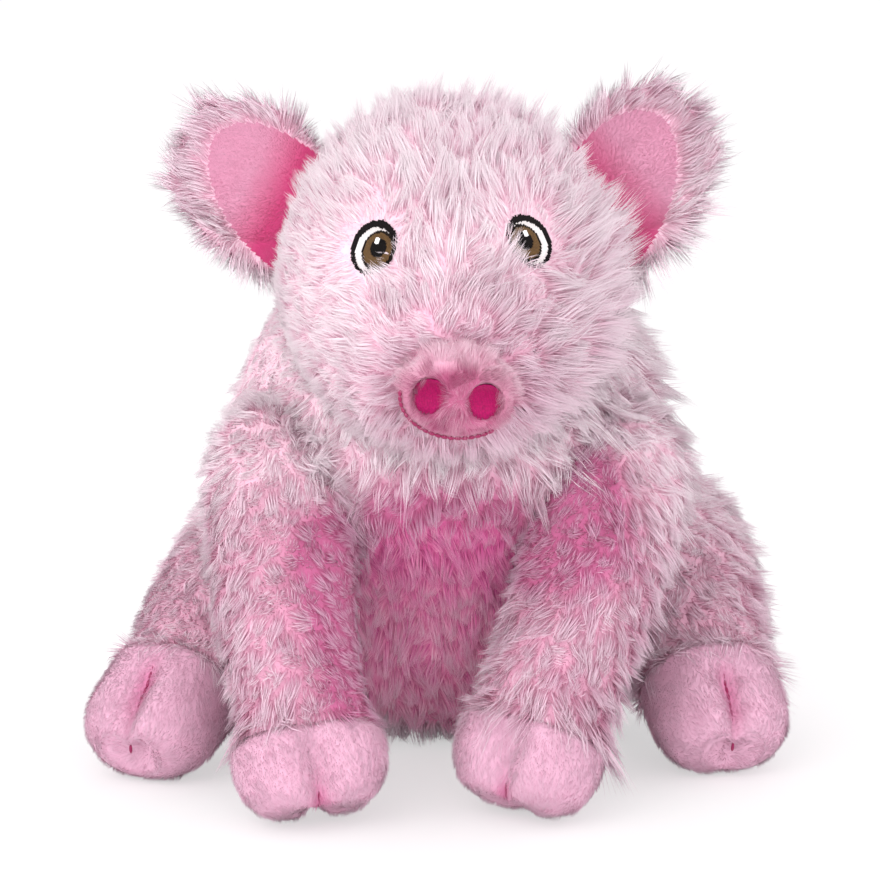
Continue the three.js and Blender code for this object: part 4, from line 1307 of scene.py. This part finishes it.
def pile_tree():
    """The tree that grows the pile on a cover. Covers carry the nap, length, thickness and tone."""
    tree, names, given = opened_tree(
        "pile on cloth",
        (
            ("Cover", "Geometry", None),
            ("Hairs per m2", "Float", 1e6),
            ("Hair Length", "Float", 0.009),
            ("Hair Radius", "Float", 0.00017),
            ("Lift", "Float", 0.72),
            ("Bend", "Float", 0.35),
            ("Lock Size", "Float", 0.0045),
            ("Lock Pull", "Float", 0.5),
            ("Lock Swirl", "Float", 0.55),
            ("Unevenness", "Float", 0.12),
            ("Tone Spread", "Float", 0.2),
            ("Guard Share", "Float", 0.17),
            ("Patches", "Float", 0.4),
            ("Seed", "Int", 7),
            ("Finish", "Material", None),
        ),
        "Pile",
    )
    shortest, longest = 0.8, 1.12
    shortest_lock, lock_spread = 0.85, 0.3
    under_length, guard_longer = 0.86, 0.14
    under_width, guard_wider = 0.65, 0.35
    drift_scale, drift_lean = 45.0, 1.1
    patch_scale = 130.0
    lock_tone_share = 0.6
    deepest, palest = 0.02, 0.98
    stem_fuller = 0.75
    bend_down = 0.6
    gather_power = 1.4

    def number(operation, *values):
        return number_node(tree, operation, *values)

    def vector(operation, *values, scale=None):
        places = dict(enumerate(values))
        if scale is not None:
            places["Scale"] = scale
        out = "Value" if operation == "DOT_PRODUCT" else "Vector"
        return wired(tree, "ShaderNodeVectorMath", places, operation=operation).outputs[out]

    def stored(name, kind="FLOAT"):
        return wired(
            tree, "GeometryNodeInputNamedAttribute", {"Name": name}, data_type=kind
        ).outputs["Attribute"]

    def store(geometry, name, value, kind="FLOAT", domain="POINT"):
        return wired(
            tree,
            "GeometryNodeStoreNamedAttribute",
            {"Geometry": geometry, "Name": name, "Value": value},
            data_type=kind,
            domain=domain,
        ).outputs[0]

    def random(low, high, seed):
        return wired(
            tree, "FunctionNodeRandomValue", {2: low, 3: high, "Seed": seed}, data_type="FLOAT"
        ).outputs[1]

    def triple(x, y, z=0.0):
        return wired(tree, "ShaderNodeCombineXYZ", {0: x, 1: y, 2: z}).outputs[0]

    def along_cloth(direction, outward):
        """The part of a direction that lies in the cloth."""
        off_cloth = vector("DOT_PRODUCT", direction, outward)
        return vector("SUBTRACT", direction, vector("SCALE", outward, scale=off_cloth))

    at = wired(tree, "GeometryNodeInputPosition").outputs[0]
    local = wired(tree, "ShaderNodeSeparateXYZ", {0: at}).outputs
    spots = wired(
        tree,
        "GeometryNodeDistributePointsOnFaces",
        {
            "Mesh": given["Cover"],
            "Density": number("MULTIPLY", given["Hairs per m2"], stored("thickness")),
            "Seed": given["Seed"],
        },
        distribute_method="RANDOM",
    )
    outward = spots.outputs["Normal"]
    locks_per_metre = number("DIVIDE", 1.0, given["Lock Size"])
    lock = wired(tree, "ShaderNodeTexVoronoi", {"Vector": at, "Scale": locks_per_metre})
    lock_tint = wired(tree, "ShaderNodeSeparateXYZ", {0: lock.outputs["Color"]}).outputs
    drift = wired(tree, "ShaderNodeTexNoise", {"Vector": at, "Scale": drift_scale, "Detail": 1.0})
    patch = wired(tree, "ShaderNodeTexNoise", {"Vector": at, "Scale": patch_scale, "Detail": 1.0})

    lock_length = number("ADD", shortest_lock, number("MULTIPLY", lock_tint[0], lock_spread))
    longer = number("MULTIPLY", random(shortest, longest, 11), lock_length)
    guard = number("LESS_THAN", random(0.0, 1.0, 17), given["Guard Share"])
    longer = number("MULTIPLY", longer, number("MULTIPLY_ADD", guard, guard_longer, under_length))
    length = number("MULTIPLY", number("MULTIPLY", given["Hair Length"], stored("length")), longer)

    to_lock = along_cloth(vector("SUBTRACT", lock.outputs["Position"], at), outward)
    swirl = vector("SUBTRACT", lock.outputs["Color"], (0.5, 0.5, 0.5))
    swirl = vector("SCALE", swirl, scale=number("MULTIPLY", given["Lock Swirl"], 2.0))
    uneven = vector("SUBTRACT", drift.outputs["Color"], (0.5, 0.5, 0.5))
    uneven = vector("SCALE", uneven, scale=drift_lean)
    jitter = wired(
        tree,
        "FunctionNodeRandomValue",
        {0: (-1, -1, -1), 1: (1, 1, 1), "Seed": 5},
        data_type="FLOAT_VECTOR",
    ).outputs[0]
    lean = vector("ADD", stored("nap", "FLOAT_VECTOR"), vector("SCALE", jitter, scale=given["Unevenness"]))
    lean = along_cloth(vector("ADD", lean, uneven), outward)

    hair_tone = number("MULTIPLY", random(-0.5, 0.5, 3), given["Tone Spread"])
    lock_tone = number("MULTIPLY", given["Tone Spread"], lock_tone_share)
    lock_tone = number("MULTIPLY", number("SUBTRACT", lock_tint[1], 0.5), lock_tone)
    patch_tone = number("MULTIPLY", number("SUBTRACT", patch.outputs[0], 0.5), given["Patches"])
    tone = number("ADD", stored("tone_here"), hair_tone)
    tone = number("ADD", tone, lock_tone)
    tone = number("ADD", tone, patch_tone)
    tone = number("MINIMUM", number("MAXIMUM", tone, deepest), palest)

    points = store(spots.outputs["Points"], "hair_out", outward, "FLOAT_VECTOR")
    points = store(points, "hair_lean", lean, "FLOAT_VECTOR")
    points = store(points, "hair_lock", to_lock, "FLOAT_VECTOR")
    points = store(points, "hair_swirl", swirl, "FLOAT_VECTOR")
    points = store(points, "hair_length", length)
    points = store(points, "hair_tone", tone)
    points = store(points, "hair_guard", guard)

    def hair_of(sections):
        """A tapered strand one long. It keeps most of its width to the middle."""
        hair = wired(
            tree,
            "GeometryNodeMeshCone",
            {
                "Vertices": 3,
                "Side Segments": sections,
                "Fill Segments": 1,
                "Radius Top": 0.0,
                "Radius Bottom": 1.0,
                "Depth": 1.0,
            },
            fill_type="NGON",
        ).outputs["Mesh"]
        hair = store(hair, "along", local[2])
        hair = store(hair, "across", number("MULTIPLY_ADD", local[1], 0.5, local[0]))
        fuller = number("MULTIPLY_ADD", stored("along"), stem_fuller, 1.0)
        widened = vector("MULTIPLY", at, triple(fuller, fuller, 1.0))
        hair = wired(tree, "GeometryNodeSetPosition", {"Geometry": hair, "Position": widened}).outputs[0]
        return wired(tree, "GeometryNodeGeometryToInstance", {0: hair}).outputs[0]

    kinds = wired(tree, "GeometryNodeJoinGeometry")
    for sections in (2, 1):
        tree.links.new(hair_of(sections), kinds.inputs[0])
    lift = given["Lift"]
    laid = vector("SCALE", lean, scale=number("SUBTRACT", 1.0, lift))
    first = vector("NORMALIZE", vector("ADD", vector("SCALE", outward, scale=lift), laid))
    turn = wired(tree, "FunctionNodeAlignRotationToVector", {"Vector": first}, axis="Z").outputs[0]
    wider = number("MULTIPLY_ADD", stored("hair_guard"), guard_wider, under_width)
    radius = number("MULTIPLY", given["Hair Radius"], wider)
    placed = wired(
        tree,
        "GeometryNodeInstanceOnPoints",
        {
            "Points": points,
            "Instance": kinds.outputs[0],
            "Pick Instance": True,
            "Instance Index": stored("hair_guard", "INT"),
            "Rotation": turn,
            "Scale": triple(radius, radius, stored("hair_length")),
        },
    ).outputs[0]
    grown = wired(tree, "GeometryNodeRealizeInstances", {"Geometry": placed}).outputs[0]

    along = stored("along")
    reach = number("MULTIPLY", stored("hair_length"), number("MULTIPLY", along, along))
    bent = number("MULTIPLY", reach, given["Bend"])
    gather = number("MULTIPLY", number("POWER", along, gather_power), given["Lock Pull"])
    falling = number("MULTIPLY", bent, bend_down)
    fall = vector("SCALE", stored("hair_out", "FLOAT_VECTOR"), scale=falling)
    shift = vector("SCALE", stored("hair_lean", "FLOAT_VECTOR"), scale=bent)
    shift = vector("SUBTRACT", shift, fall)
    shift = vector("ADD", shift, vector("SCALE", stored("hair_lock", "FLOAT_VECTOR"), scale=gather))
    shift = vector("ADD", shift, vector("SCALE", stored("hair_swirl", "FLOAT_VECTOR"), scale=reach))
    grown = wired(tree, "GeometryNodeSetPosition", {"Geometry": grown, "Offset": shift}).outputs[0]

    hair_u = number("MULTIPLY_ADD", stored("across"), 0.008, stored("hair_tone"))
    hair_v = number("MULTIPLY_ADD", along, 0.94, 0.05)
    grown = store(grown, "OFBake", triple(hair_u, hair_v), "FLOAT2", "CORNER")
    cloth_u = number("MULTIPLY_ADD", local[1], 0.37, local[0])
    cloth_u = number("MULTIPLY_ADD", cloth_u, 0.3, stored("tone_here"))
    cloth_v = number("MULTIPLY_ADD", local[2], 0.1, 0.22)
    cloth = store(given["Cover"], "OFBake", triple(cloth_u, cloth_v), "FLOAT2", "CORNER")
    joined = wired(tree, "GeometryNodeJoinGeometry")
    for part in (grown, cloth):
        tree.links.new(part, joined.inputs[0])
    close_tree(tree, joined.outputs[0], given["Finish"])
    return tree, names


pile, pile_inputs = pile_tree()
floor_clearance = 0.0003


def cover_places(piece):
    """The places of a cover's points, in millimetres."""
    return vertex_rows(piece.data) / MM


def set_cover(piece, nap, length, thickness, tone):
    """Writes a cover's nap direction, and its shares of length and thickness, and tone, at each point."""
    mesh = piece.data
    normals = vertex_rows(mesh, "normal")
    nap = nap - normals * (nap * normals).sum(1, keepdims=True)
    attribute = mesh.attributes.new("nap", "FLOAT_VECTOR", "POINT")
    attribute.data.foreach_set("vector", unit(nap).astype(np.float32).ravel())
    for name, values in (("length", length), ("thickness", thickness), ("tone_here", tone)):
        attribute = mesh.attributes.new(name, "FLOAT", "POINT")
        shared = np.broadcast_to(values, len(mesh.vertices))
        attribute.data.foreach_set("value", shared.astype(np.float32).copy())


def grow_pile(piece, finish, sizes, soften=3.0):
    """Grows the pile on a cover. Hairs that would reach under the floor lie flat on it."""
    made = plain_mesh(piece, pile, pile_inputs, finish, sizes, soften)
    places = vertex_rows(made, "co", np.float32)
    places[:, 2] = np.maximum(places[:, 2], floor_clearance)
    made.vertices.foreach_set("co", places.ravel())
    made.update()


# What lies inside another cover is found against these closed skins.
torso_shape = skin_object("torso_shape", *torso_form)
cover_surfaces = {"torso": surface_of(torso_shape), "head": surface_of(head_plush)}
for name, limb in limbs.items():
    cover_surfaces[name] = surface_of(limb["sleeve"])
bpy.data.objects.remove(torso_shape)
far_outside = -99.0
near_enough = 0.05
probe = Vector((0.18, 0.29, 0.94))
probe_step = 1e-5
corner_reach = 5.0


def depth_inside(places, own=None):
    """How far each point, in millimetres, lies inside the other covers, or below 0 how far outside."""
    deepest = np.full(len(places), far_outside)
    for other, surface in cover_surfaces.items():
        if other == own:
            continue
        for i, place in enumerate(places):
            here = Vector(place * MM)
            near, _, _, far = surface.find_nearest(here, near_enough)
            if near is None:
                continue
            crossings, start = 0, here
            while True:
                hit, _, _, _ = surface.ray_cast(start, probe)
                if hit is None:
                    break
                crossings += 1
                start = hit + probe * probe_step
            deepest[i] = max(deepest[i], far / MM if crossings % 2 else -far / MM)
    return deepest


def showing(hidden, buried=3.0):
    """1 where the cloth is out in the open, and 0 where it lies buried in another cover."""
    return np.where(hidden > buried, 0.0, 1.0)


def in_corner(hidden):
    """1 beside the seam where another cover leaves this one, and 0 away from it."""
    return np.exp(-((hidden / corner_reach) ** 2))


def near_share(places, centre, reach):
    """From 0 at a centre to 1 at its reach and beyond."""
    far = np.linalg.norm(places - centre, axis=1) / reach
    far = np.clip(far, 0, 1)
    return far * far * (3 - 2 * far)


def rising(gone, reach):
    """From 0 at the start to 1 at the reach, and level on both sides."""
    return np.clip(gone / reach, 0, 1)


# Torso's pile: the long plush is brushed down, and outwards from the neck. It is trimmed there, lies
# short and deep pink under the chin, partly its own deeper pile and partly painted shade of the chin,
# and is worked out of the seams where the limbs leave the body.
long_pile = coat_material(
    "long_two_tone_pile",
    [(0.0, (236, 172, 200)), (0.18, (241, 205, 220)), (0.42, (245, 226, 235)), (1.0, (247, 239, 243))],
    [(0.0, (190, 76, 130)), (0.3, (198, 112, 154)), (0.6, (206, 150, 180)), (1.0, (218, 180, 200))],
    0.75,
    0.3,
)
down = np.array([0.0, 0.0, -1.0])
fall_down = 1.2
fall_outwards = np.array([0.5, 0.5, 0])
neck_whorl = neck_pivot + up_axis * 60
chest_half_width = 34.0
chest_height = 76.0
chest_half_height = 16.0
chest_behind = -50.0
chest_shorter = 0.35
chest_deeper_with_shade = 1.5
neck_trim_height = 108.0
neck_trim_fade = 8.0
neck_shorter = 0.35
seat_tone = 0.7
back_paler = 0.3
paler_from = 30.0
paler_fade = 90.0
left_longer = 0.35
left_half_width = 46.0
shoulder_height_from = 95.0
shoulder_fade = 15.0
sat_flat_high = 3.0
sat_flat_share = 0.35
corner_longer = 0.35
corner_paler = 0.25
corner_thicker = 0.9


def shoulder_fall(places):
    """The way that pile falls round the shoulders: down, and outwards from the neck."""
    return down * fall_down + unit(places - neck_whorl) * fall_outwards


places = cover_places(torso_plush)
hidden = depth_inside(places, "torso")
corner = in_corner(hidden)
chest = np.exp(
    -((places[:, 0] / chest_half_width) ** 2) - ((places[:, 2] - chest_height) / chest_half_height) ** 2
)
chest = chest * (places[:, 1] < chest_behind)
neck_trim = rising(places[:, 2] - neck_trim_height, neck_trim_fade)
to_left = np.clip(places[:, 0] / left_half_width, -1, 1)
thickness = showing(hidden) * np.where(places[:, 2] < sat_flat_high, sat_flat_share, 1.0)
thickness *= 1 + corner_thicker * corner
tone = seat_tone + back_paler * rising(places[:, 2] - paler_from, paler_fade)
# Under the chin the pile is made deeper: partly its own deep pink, partly painted shade of the chin.
tone = tone - chest_deeper_with_shade * chest + corner_paler * corner
length = 1.0 - chest_shorter * chest - neck_shorter * neck_trim + corner_longer * corner
length = length + left_longer * to_left * rising(places[:, 2] - shoulder_height_from, shoulder_fade)
set_cover(torso_plush, shoulder_fall(places), length, thickness, tone)
grow_pile(torso_plush, long_pile, {"Hairs per m2": 1.6e6, "Hair Length": 0.0076, "Seed": 3})
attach(torso_plush, "torso")
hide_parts("torso_cover_left", "torso_cover_right", "torso_stuffing")

# Belly panel's pile: shorter plush of one warm pink, mottled in its locks, which lies straight down.
# It is palest low on the belly and deepest under the chest, where the chest's and head's shade is painted
# in.
belly_pile = coat_material(
    "short_belly_pile",
    [(0.0, (236, 124, 174)), (0.4, (255, 196, 220)), (1.0, (255, 234, 243))],
    [(0.0, (196, 66, 136)), (0.5, (228, 110, 172)), (1.0, (242, 154, 202))],
    0.75,
    0.25,
)
belly_tone = 0.52
belly_low_paler = 0.2
belly_paler_below = 34.0
belly_paler_fade = 20.0
belly_painted_shade = 0.4
belly_shade_above = 50.0
belly_shade_fade = 16.0

places = cover_places(belly_plush)
hidden = depth_inside(places, "torso")
# The pile is paler low on the belly, and darker high on it as painted shade under the chest and head.
tone = belly_tone + belly_low_paler * rising(belly_paler_below - places[:, 2], belly_paler_fade)
tone = tone - belly_painted_shade * rising(places[:, 2] - belly_shade_above, belly_shade_fade)
set_cover(belly_plush, np.tile(down, (len(places), 1)), 1.0, showing(hidden), tone)
grow_pile(
    belly_plush,
    belly_pile,
    {
        "Hairs per m2": 3.2e6,
        "Hair Length": 0.0055,
        "Hair Radius": 0.00018,
        "Lift": 0.5,
        "Lock Size": 0.004,
        "Tone Spread": 0.8,
        "Guard Share": 0.0,
    },
)
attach(belly_plush, "torso")
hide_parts("belly_panel")

# Seat panel's pile: the same long plush, cut short and pressed flat, since the toy sits on it.
# It is swept outwards from the middle.
places = cover_places(seat_plush)
set_cover(seat_plush, places * np.array([1, 1, 0]) + 0.01, 1.0, 0.4, 0.4)
grow_pile(seat_plush, long_pile, {"Hairs per m2": 0.8e6, "Hair Length": 0.004, "Lift": 0.2})
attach(seat_plush, "torso")
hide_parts("seat_panel")

# Head's pile: the plush runs back from the snout on all sides. It is trimmed short and deep pink round
# the snout, is short and painted dark in the folds by the ears as their shade, and parts round each
# eye, with a few hairs over the eye's rim.
face_parting_up = 2.0
snout_trim = 0.5
snout_trim_reach = 42.0
beard_kept = 0.3
beard_fade = 10.0
cheek_longer = 0.42
cheek_half_width = 46.0
cheek_below = 175.0
cheek_fade = 15.0
jowl_shorter = 0.3
jowl_below = 140.0
jowl_height_fade = 10.0
jowl_beyond = 38.0
jowl_side_fade = 8.0
muzzle_tone = 0.76
crown_paler = 0.22
crown_from = 110.0
crown_fade = 60.0
head_left_side_shade = 0.14
head_left_shade_fade = 50.0
snout_deeper = 0.52
snout_deeper_reach = 40.0
snout_thicker = 0.7
snout_thicker_reach = 46.0
snout_bare_share = 0.85
snout_bare_behind = -90.0
fold_ahead = 7.0
fold_length = 0.3
fold_trim_reach = 22.0
ear_fold_painted_shade = 0.95
ear_fold_shade_reach = 15.0
eye_veils = {"eye_right": 0.25, "eye_left": 0.0}
eye_outer_rise = 0.9
eye_parting = 2.2
eye_parting_reach = 24.0
eye_trim = 0.3
eye_trim_reach = 20.0
eye_bald_radius = 7.8
eye_bald_out = 0.9
over_eye_combed = 1.1
veil_combed = 2.8
veil_bald_out = 3.0

places = cover_places(head_plush)
hidden = depth_inside(places, "head")
across, high = across_snout(places)
nap = unit(places - (snout_face + head_up * face_parting_up))
beard = beard_kept * rising(-high, beard_fade)
length = snout_trim + beard + (1 - snout_trim - beard) * near_share(places, snout_face, snout_trim_reach)
to_left = np.clip(places[:, 0] / cheek_half_width, -1, 1)
length *= 1 + cheek_longer * to_left * rising(cheek_below - places[:, 2], cheek_fade)
tone = muzzle_tone + crown_paler * rising(places[:, 2] - crown_from, crown_fade)
# Painted shade: the head's pile is darker on the toy's left side, the side turned away from the light.
tone -= head_left_side_shade * np.clip(places[:, 0] / head_left_shade_fade, -1, 1)
tone -= snout_deeper * (1 - near_share(places, snout_face, snout_deeper_reach))
thickness = 1 + snout_thicker * (1 - near_share(places, snout_face, snout_thicker_reach))
thickness = showing(hidden) * thickness
for ear in ears.values():
    fold = ear["root"] + ear["frame"][1] * fold_ahead
    length *= fold_length + (1 - fold_length) * near_share(places, fold, fold_trim_reach)
    # Painted shade of the fold where each ear meets the head.
    tone -= ear_fold_painted_shade * (1 - near_share(places, fold, ear_fold_shade_reach))
for name, eye in eyes.items():
    seat, veil = eye["seat"], eye_veils[name]
    close = 1 - near_share(places, seat, eye_parting_reach)
    outer_way = unit(np.sign(seat[0]) * side_axis + up_axis * eye_outer_rise)
    from_eye = unit(places - seat)
    over_eye = np.clip(-(from_eye @ outer_way), 0, 1)
    combed = (over_eye_combed + veil_combed * veil) * over_eye
    nap += from_eye * (eye_parting * close * (1 - combed))[:, None]
    trimmed = eye_trim + (1 - eye_trim) * near_share(places, seat, eye_trim_reach)
    length *= np.clip(trimmed + veil * over_eye, 0, 1)
    bald = seat + outer_way * (eye_bald_out + veil_bald_out * veil)
    thickness = np.where(np.linalg.norm(places - bald, axis=1) < eye_bald_radius, 0.0, thickness)
jowl = jowl_shorter * rising(jowl_below - places[:, 2], jowl_height_fade)
length *= 1 - jowl * rising(np.abs(places[:, 0]) - jowl_beyond, jowl_side_fade)
under_snout = np.hypot(across / snout_half_width, high / snout_half_height) < snout_bare_share
thickness = np.where(under_snout & (places[:, 1] < snout_bare_behind), 0.0, thickness)
set_cover(head_plush, nap, length, thickness, tone)
grow_pile(
    head_plush,
    long_pile,
    {
        "Hairs per m2": 2.4e6,
        "Hair Length": 0.0072,
        "Lift": 0.62,
        "Lock Pull": 0.42,
        "Patches": 0.28,
        "Seed": 12,
    },
)
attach(head_plush, "head")
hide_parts("head_cover_left", "head_cover_right", "head_stuffing")

# Snout's pile: fine short fuzz, mauve in the middle and pale at the upper rim. The nostrils are bare,
# and the fuzz is worn thin along the mouth.
snout_pile = coat_material(
    "snout_fuzz",
    [(0.0, (226, 164, 190)), (1.0, (244, 222, 231))],
    [(0.0, (156, 44, 98)), (1.0, (186, 78, 126))],
    0.8,
    0.25,
)
snout_pit_tone = 0.05
snout_face_tone = 0.12
snout_rim_paler = 0.36
snout_top_paler = 0.7
snout_rim_from = 0.6
snout_rim_fade = 0.35
snout_rim_longer = 0.35
snout_top_longer = 0.9
snout_face_length = 0.75
mouth_worn = 0.1

places = cover_places(snout_plush)
across, high = across_snout(places)
pit = np.ones(len(places))
for side in (-1, 1):
    pit = np.minimum(pit, np.clip((from_nostril(across, high, side) - 0.95) * 5, 0, 1))
across, high = across / snout_half_width, high / snout_half_height
from_middle = np.hypot(across, high)
rim = rising(from_middle - snout_rim_from, snout_rim_fade)
upper = np.clip(high, 0, 1)
mouth_side = (from_middle > 0.84) & (high < 0.05) & (across < 0.7)
in_front = (places - snout_front) @ head_along > -3.0
tone = snout_pit_tone + pit * (snout_face_tone + snout_rim_paler * rim + snout_top_paler * upper * rim)
thickness = np.where(in_front & (pit > 0), 1.0, 0.0) * np.where(mouth_side, mouth_worn, 1.0)
length = snout_face_length + snout_rim_longer * rim + snout_top_longer * upper * rim
set_cover(snout_plush, unit(places - snout_face), length, thickness, tone)
grow_pile(
    snout_plush,
    snout_pile,
    {
        "Hairs per m2": 6e6,
        "Hair Length": 0.0028,
        "Hair Radius": 0.00012,
        "Lock Pull": 0.1,
        "Lift": 0.55,
        "Tone Spread": 0.4,
        "Patches": 0.8,
        "Guard Share": 0.0,
    },
)
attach(snout_plush, "head")
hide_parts("snout_panel")

# Ears' pile: long plush on the back that fans out past the rim, fuller low at the root, and a lining
# of very short smooth pile, painted deepest in the fold as the fold's shade. Each ear bends at its root as
# it flaps.
lining_pile = coat_material(
    "smooth_lining_pile",
    [(0.0, (208, 150, 176)), (1.0, (216, 166, 190))],
    [(0.0, (196, 50, 112)), (1.0, (214, 76, 134))],
    0.8,
    0.3,
)
ear_bend = 10.0
ear_whorl_back = 8.0
ear_backwards = 0.1
ear_low_reach = 18.0
ear_low_along = 24.0
ear_low_longer = 0.6
ear_tone = 0.7
ear_low_paler = 0.25
lining_fold_shade = 0.05
lining_paler = 0.8
lining_fold_end = 3.0
lining_fade = 12.0
for name, ear in ears.items():
    along, facing, lower = ear["frame"]
    root = ear["root"]
    places = cover_places(ear["back"])
    hidden = depth_inside(places)
    nap = unit(places - (ear["centre"] - along * ear_whorl_back)) - facing * ear_backwards
    low_root = rising((places - root) @ lower, ear_low_reach)
    low_root *= 1 - rising((places - root) @ along, ear_low_along)
    length, tone = 1.0 + ear_low_longer * low_root, ear_tone + ear_low_paler * low_root
    set_cover(ear["back"], nap, length, showing(hidden, 2.0), tone)
    grow_pile(
        ear["back"],
        long_pile,
        {
            "Hairs per m2": 3.1e6,
            "Hair Length": 0.0066,
            "Lift": 0.45,
            "Lock Pull": 0.3,
            "Lock Swirl": 0.4,
            "Seed": 21,
        },
        soften=1.3,
    )
    places = cover_places(ear["lining"])
    hidden = depth_inside(places)
    # The lining is painted dark at the fold by the root, as its shade, and paler out towards the tip.
    tone = lining_fold_shade + lining_paler * rising((places - root) @ along - lining_fold_end, lining_fade)
    set_cover(ear["lining"], unit(places - root), 1.0, showing(hidden, 1.0), tone)
    grow_pile(
        ear["lining"],
        lining_pile,
        {
            "Hairs per m2": 5e6,
            "Hair Length": 0.0013,
            "Hair Radius": 0.0001,
            "Lock Pull": 0.0,
            "Lock Swirl": 0.1,
            "Lift": 0.5,
            "Tone Spread": 0.1,
            "Guard Share": 0.0,
        },
    )
    bend_from, bend_to = tuple(root * MM), tuple((root + along * ear_bend) * MM)
    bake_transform(ear["back"], "head", name, start=bend_from, end=bend_to)
    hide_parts(name + "_back")
    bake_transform(ear["lining"], "head", name, start=bend_from, end=bend_to)
    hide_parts(name + "_lining")

# Tail's pile: short and smooth, cut from the same cloth as the hooves, and laid along the tail.
# It hides the one seam that closes the thin tube.
hoof_pile = coat_material(
    "smooth_hoof_pile",
    [(0.0, (218, 166, 191)), (1.0, (227, 196, 213))],
    [(0.0, (206, 104, 154)), (1.0, (218, 138, 178))],
    0.8,
    0.35,
)
tail_nap = np.repeat(tail_tangents[:1], len(tail_plush.data.vertices), 0) + back_axis * 0.01
set_cover(tail_plush, tail_nap, 1.0, 1.0, 0.5)
grow_pile(
    tail_plush,
    hoof_pile,
    {
        "Hairs per m2": 4e6,
        "Hair Length": 0.002,
        "Hair Radius": 0.00011,
        "Lock Pull": 0.0,
        "Guard Share": 0.0,
    },
)
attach(tail_plush, "tail")
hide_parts("tail_cover")

# Limbs' pile: the sleeves' plush lies towards the hooves and hangs over their seam. At the root, where
# the sleeve bends, it falls with the body's. An arm's inner side, turned to the belly, is deep pink: its
# roots show where the pile parts, and painted shade is added. The hooves' smooth pile lies forwards, and
# is painted darker in the pulled dimple as its shade.
sleeve_coats = {
    "arm": {"tone": 0.46, "end_longer": 0.7, "lock_pull": 0.45},
    "leg": {"tone": 0.56, "end_longer": 0.4, "lock_pull": 0.2},
}
sleeve_lengths = {"arm_right": 0.7, "arm_left": 0.85, "leg_right": 0.5, "leg_left": 0.75}
inner_arm = np.array([39.0, -100.0, 80.0])
inner_arm_reach = 26.0
inner_arm_roots_and_shade = 0.75
inner_edges = {"arm_right": ((-31.0, 73.0), (-20.5, 36.0)), "arm_left": ((39.0, 92.0), (20.0, 74.0))}
inner_reach = 10.5
inner_edge_roots_and_shade = 1.2
inner_shorter = 0.6
root_reach = 20.0
root_tone = 0.9
root_corner_tone = 0.7
root_corner_thicker = 0.5
sleeve_down = 0.3
sleeve_end_fade = 10.0
bend_behind = 6.0
bend_ahead = 24.0
seam_overlap = 0.5
hoof_tone = 0.98
dimple_painted_shade = 0.8
dimple_half_width = 3.0
for name, limb in limbs.items():
    coat = sleeve_coats[name[:3]]
    toward = unit(limb["foot"] - limb["pivot"])
    seam = limb["rings"][limb["seam_ring"]].mean(0)
    places = cover_places(limb["sleeve"])
    hidden = depth_inside(places, name)
    corner = in_corner(hidden)
    from_pivot = np.clip((places - limb["pivot"]) @ toward, 0, 99)
    past_seam = (places - seam) @ toward
    at_root = np.exp(-((from_pivot / root_reach) ** 2))
    fall = at_root[:, None]
    nap = (toward + down * sleeve_down) * (1 - fall) + shoulder_fall(places) * fall
    sleeve_end = np.clip(past_seam / sleeve_end_fade + 1, 0, 1)
    length = sleeve_lengths[name] + coat["end_longer"] * sleeve_end**2
    length = length + corner_longer * corner
    thickness = showing(hidden) * np.where(past_seam > seam_overlap, 0.0, 1.0)
    tone = coat["tone"] + (root_tone - coat["tone"]) * np.maximum(at_root, root_corner_tone * corner)
    # Deep pink on an arm's inner side: partly its roots showing, partly painted shade from the belly.
    tone = tone - inner_arm_roots_and_shade * (1 - near_share(places, inner_arm, inner_arm_reach))
    if name in inner_edges:
        start, end = np.array(inner_edges[name])
        edge = end - start
        share = np.clip((places[:, [0, 2]] - start) @ edge / (edge @ edge), 0, 1)
        from_edge = places[:, [0, 2]] - start - share[:, None] * edge
        inner = np.exp(-((np.linalg.norm(from_edge, axis=1) / inner_reach) ** 2))
        tone = tone - inner_edge_roots_and_shade * inner
        length = length * (1 - inner_shorter * inner)
    thickness = thickness * (1 + root_corner_thicker * corner)
    set_cover(limb["sleeve"], nap, length, thickness, tone)
    grow_pile(
        limb["sleeve"],
        long_pile,
        {
            "Hairs per m2": 2.5e6,
            "Hair Length": 0.0072,
            "Lift": 0.65,
            "Lock Size": 0.004,
            "Lock Pull": coat["lock_pull"],
            "Patches": 0.6,
            "Seed": 31,
        },
    )
    places = cover_places(limb["hoof"])
    buried = (places - seam) @ toward < -seam_overlap
    gaps = np.linalg.norm(places[:, None, :] - np.array(limb["crease"])[None, :, :], axis=2)
    along_crease = gaps.argmin(1) / (len(limb["crease"]) - 1)
    pulled = np.exp(-(((along_crease - limb["dimple"]) / dimple_spread) ** 2))
    # Painted shade: the hoof pile is darker in the pulled dimple.
    tone = hoof_tone - dimple_painted_shade * np.exp(-((gaps.min(1) / dimple_half_width) ** 2)) * pulled
    set_cover(limb["hoof"], np.tile(toward, (len(places), 1)), 1.0, np.where(buried, 0.0, 1.0), tone)
    grow_pile(
        limb["hoof"],
        hoof_pile,
        {
            "Hairs per m2": 2.8e6,
            "Hair Length": 0.0023,
            "Hair Radius": 0.00013,
            "Lock Pull": 0.12,
            "Lock Swirl": 0.25,
            "Lift": 0.5,
            "Tone Spread": 0.2,
            "Patches": 0.5,
            "Guard Share": 0.0,
        },
    )
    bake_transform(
        limb["sleeve"],
        "torso",
        name,
        start=tuple((limb["pivot"] - toward * bend_behind) * MM),
        end=tuple((limb["pivot"] + toward * bend_ahead) * MM),
    )
    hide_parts(name + "_sleeve", name + "_stuffing")
    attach(limb["hoof"], name)
    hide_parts(name + limb["end"])
